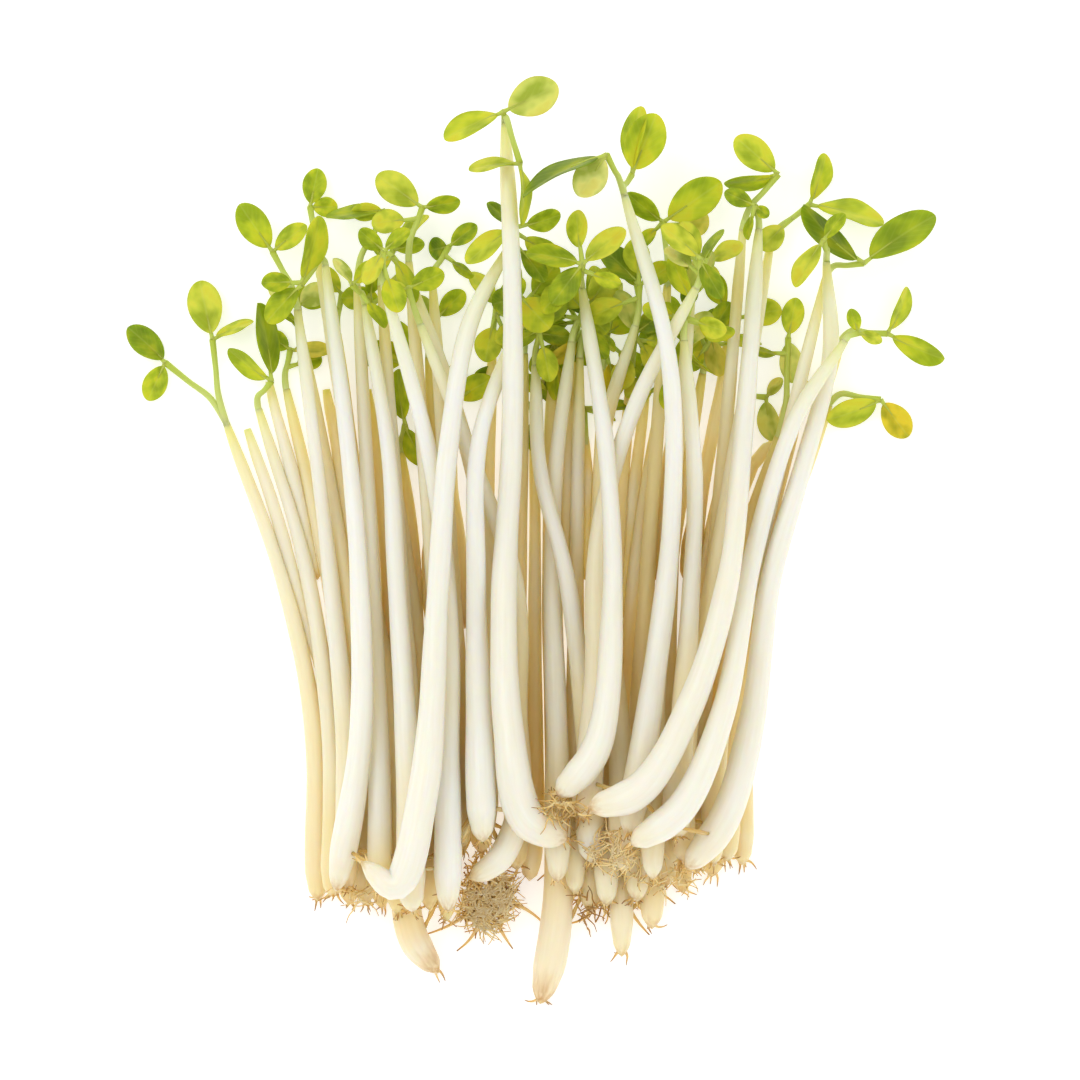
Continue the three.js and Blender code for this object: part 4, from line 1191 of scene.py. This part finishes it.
# Where fibres are woven, up to which height, and how brown. The last are the few dark ones by the long root.
PATCHES = [
    {"centre": (-6.8, -43.2), "half": (3.3, 5.0), "count": 420, "top": 9, "dark": (0.0, 0.6)},
    {"centre": (2.8, -32.8), "half": (2.2, 1.3), "count": 60, "top": 24, "dark": (0.3, 0.8)},
    {"centre": (9.5, -37.8), "half": (3.4, 2.4), "count": 120, "top": 13, "dark": (0.0, 0.6)},
    {"centre": (15.5, -40.8), "half": (5.0, 1.7), "count": 90, "top": 10, "dark": (0.0, 0.5)},
    {"centre": (-20.0, -43.8), "half": (4.5, 1.5), "count": 60, "top": 8, "dark": (0.0, 0.5)},
    {"centre": (6.0, -45.5), "half": (1.3, 3.2), "count": 16, "top": 9, "dark": (0.9, 1.0)},
]


def mat_core(mat):
    """The dense middle of a mat: fine fibres that cross in a flat ball."""
    (cx, cy), (rx, ry) = mat["centre"], mat["reach"]
    parts = []
    for _ in range(CORE_FIBRES):
        angle, share = shape.uniform(0, 2 * math.pi), math.sqrt(shape.uniform(0, 1)) * 0.85
        x, y = cx + rx * share * math.cos(angle), cy + ry * share * math.sin(angle)
        bearing, length = shape.uniform(0, 2 * math.pi), shape.uniform(*CORE_LENGTHS)
        points = []
        for step in range(5):
            points.append((x, y, shape.uniform(0.25, mat["height"] * (1 - 0.5 * share))))
            bearing += shape.uniform(-0.8, 0.8)
            x += length / 5 * math.cos(bearing)
            y += length / 5 * math.sin(bearing)
        parts.append(fibre_part(points, *CORE_RADII, shape.uniform(0.0, 0.7)))
    return parts


for (name, mat), rootlets in zip(MATS.items(), mat_rootlets.values()):
    parts = mat_core(mat)
    for rings in rootlets:
        parts.append(fibre_part(rings[:, :3], *ROOTLET_RADII, 0.3))
    piece = make_piece(f"tangle_{name}", parts, [ROOT_SKIN])
    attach(piece, "root")
    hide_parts(name)

parts = []
for patch in PATCHES:
    (cx, cy), (rx, ry) = patch["centre"], patch["half"]
    for _ in range(patch["count"]):
        angle, share = shape.uniform(0, 2 * math.pi), math.sqrt(shape.uniform(0, 1))
        x, y = cx + rx * share * math.cos(angle), cy + ry * share * math.sin(angle)
        z = rest_height(x, y, CRAWL_RADIUS) - CLEARANCE
        if z > patch["top"]:
            continue
        points = crawl((x, y, z), shape.uniform(0, 6.3), shape.uniform(*WOVEN_LENGTHS), 0.1, 0.5)
        parts.append(fibre_part(points, *WOVEN_RADII, shape.uniform(*patch["dark"])))
woven = make_piece("root_fibres_woven", parts, [ROOT_SKIN])
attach(woven, "root")
print("wove", len(parts), "fibres between the root ends")

# %% [markdown]
# ## Table, light and camera
#
# In the photo the clump casts no shadow, and light fills even its gaps. Such pictures are taken on a light
# table: a milky acrylic sheet, lit from below. A plain floor would throw grey shadows, so this one glows
# softly. Its light comes up between the stems and loses its blue on the way; with the golden painted shade
# on the stems' sides and on the deeper stems, it turns the gaps golden. A wide lamp above and a weaker one
# across from it give the stems their roundness.
#
# The camera looks straight down through a long lens, so that stems near the edge aren't seen from the side.
# One millimetre takes eight pixels of a picture 1080 pixels wide.

# %% Floor and lights
TABLE_SIZE = 4.0
TABLE_GLOW = 0.48
ROOM_LIGHT = 0.82


def floor_sheet():
    material, tree, shader = new_material("milky acrylic sheet of a light table", {
        "Roughness": 0.6, "Emission Color": linear("#FFFFFF"), "Emission Strength": TABLE_GLOW})
    grain = add_node(tree, "ShaderNodeTexNoise", {"Scale": 40.0, "Detail": 2.0})
    ramp = add_node(tree, "ShaderNodeValToRGB", {"Fac": grain.outputs["Fac"]})
    set_ramp(ramp, [(0.0, "#E8E8E8"), (1.0, "#ECECEC")])
    tree.links.new(ramp.outputs["Color"], shader.inputs["Base Color"])
    return material


bpy.ops.mesh.primitive_plane_add(size=TABLE_SIZE)
floor = bpy.context.object
floor.name = "table"
floor.data.materials.append(floor_sheet())


def soft_light(name, place, size, power, colour):
    light = bpy.data.lights.new(name, "AREA")
    light.size = size
    light.energy = power
    light.color = linear(colour)[:3]
    lamp = bpy.data.objects.new(name, light)
    lamp.location = place
    lamp.rotation_euler = (-Vector(place)).to_track_quat("-Z", "Y").to_euler()
    bpy.context.scene.collection.objects.link(lamp)


soft_light("key", (-0.6, 0.5, 1.3), 0.8, 4.2, "#FFFEFB")
soft_light("fill", (0.8, -0.5, 1.1), 1.0, 1.4, "#FFFDF8")
world = bpy.data.worlds.new("bright room")
world.use_nodes = True
world.node_tree.nodes["Background"].inputs["Color"].default_value = linear("#FFFFFF")
world.node_tree.nodes["Background"].inputs["Strength"].default_value = ROOM_LIGHT
bpy.context.scene.world = world
bpy.context.scene.view_settings.view_transform = "Standard"
print("the table glows at", TABLE_GLOW, "and the room at", ROOM_LIGHT)

# %% Camera
PIXELS = 1080
PIXELS_PER_MM = 8.0
CAMERA_HEIGHT = 1.4
FOCUS_HEIGHT = 0.014
SENSOR = 36.0
VIEW_CENTRE = (0.0, 1.0)
camera_data = bpy.data.cameras.new("overhead")
camera_data.sensor_width = SENSOR
camera_data.lens = SENSOR * (CAMERA_HEIGHT - FOCUS_HEIGHT) / (PIXELS / PIXELS_PER_MM / 1000)
camera = bpy.data.objects.new("overhead", camera_data)
camera.location = ((VIEW_CENTRE[0] + SHIFT[0]) / 1000, (VIEW_CENTRE[1] + SHIFT[1]) / 1000, CAMERA_HEIGHT)
bpy.context.scene.collection.objects.link(camera)
bpy.context.scene.camera = camera
print("the lens is", round(camera_data.lens), "mm long")
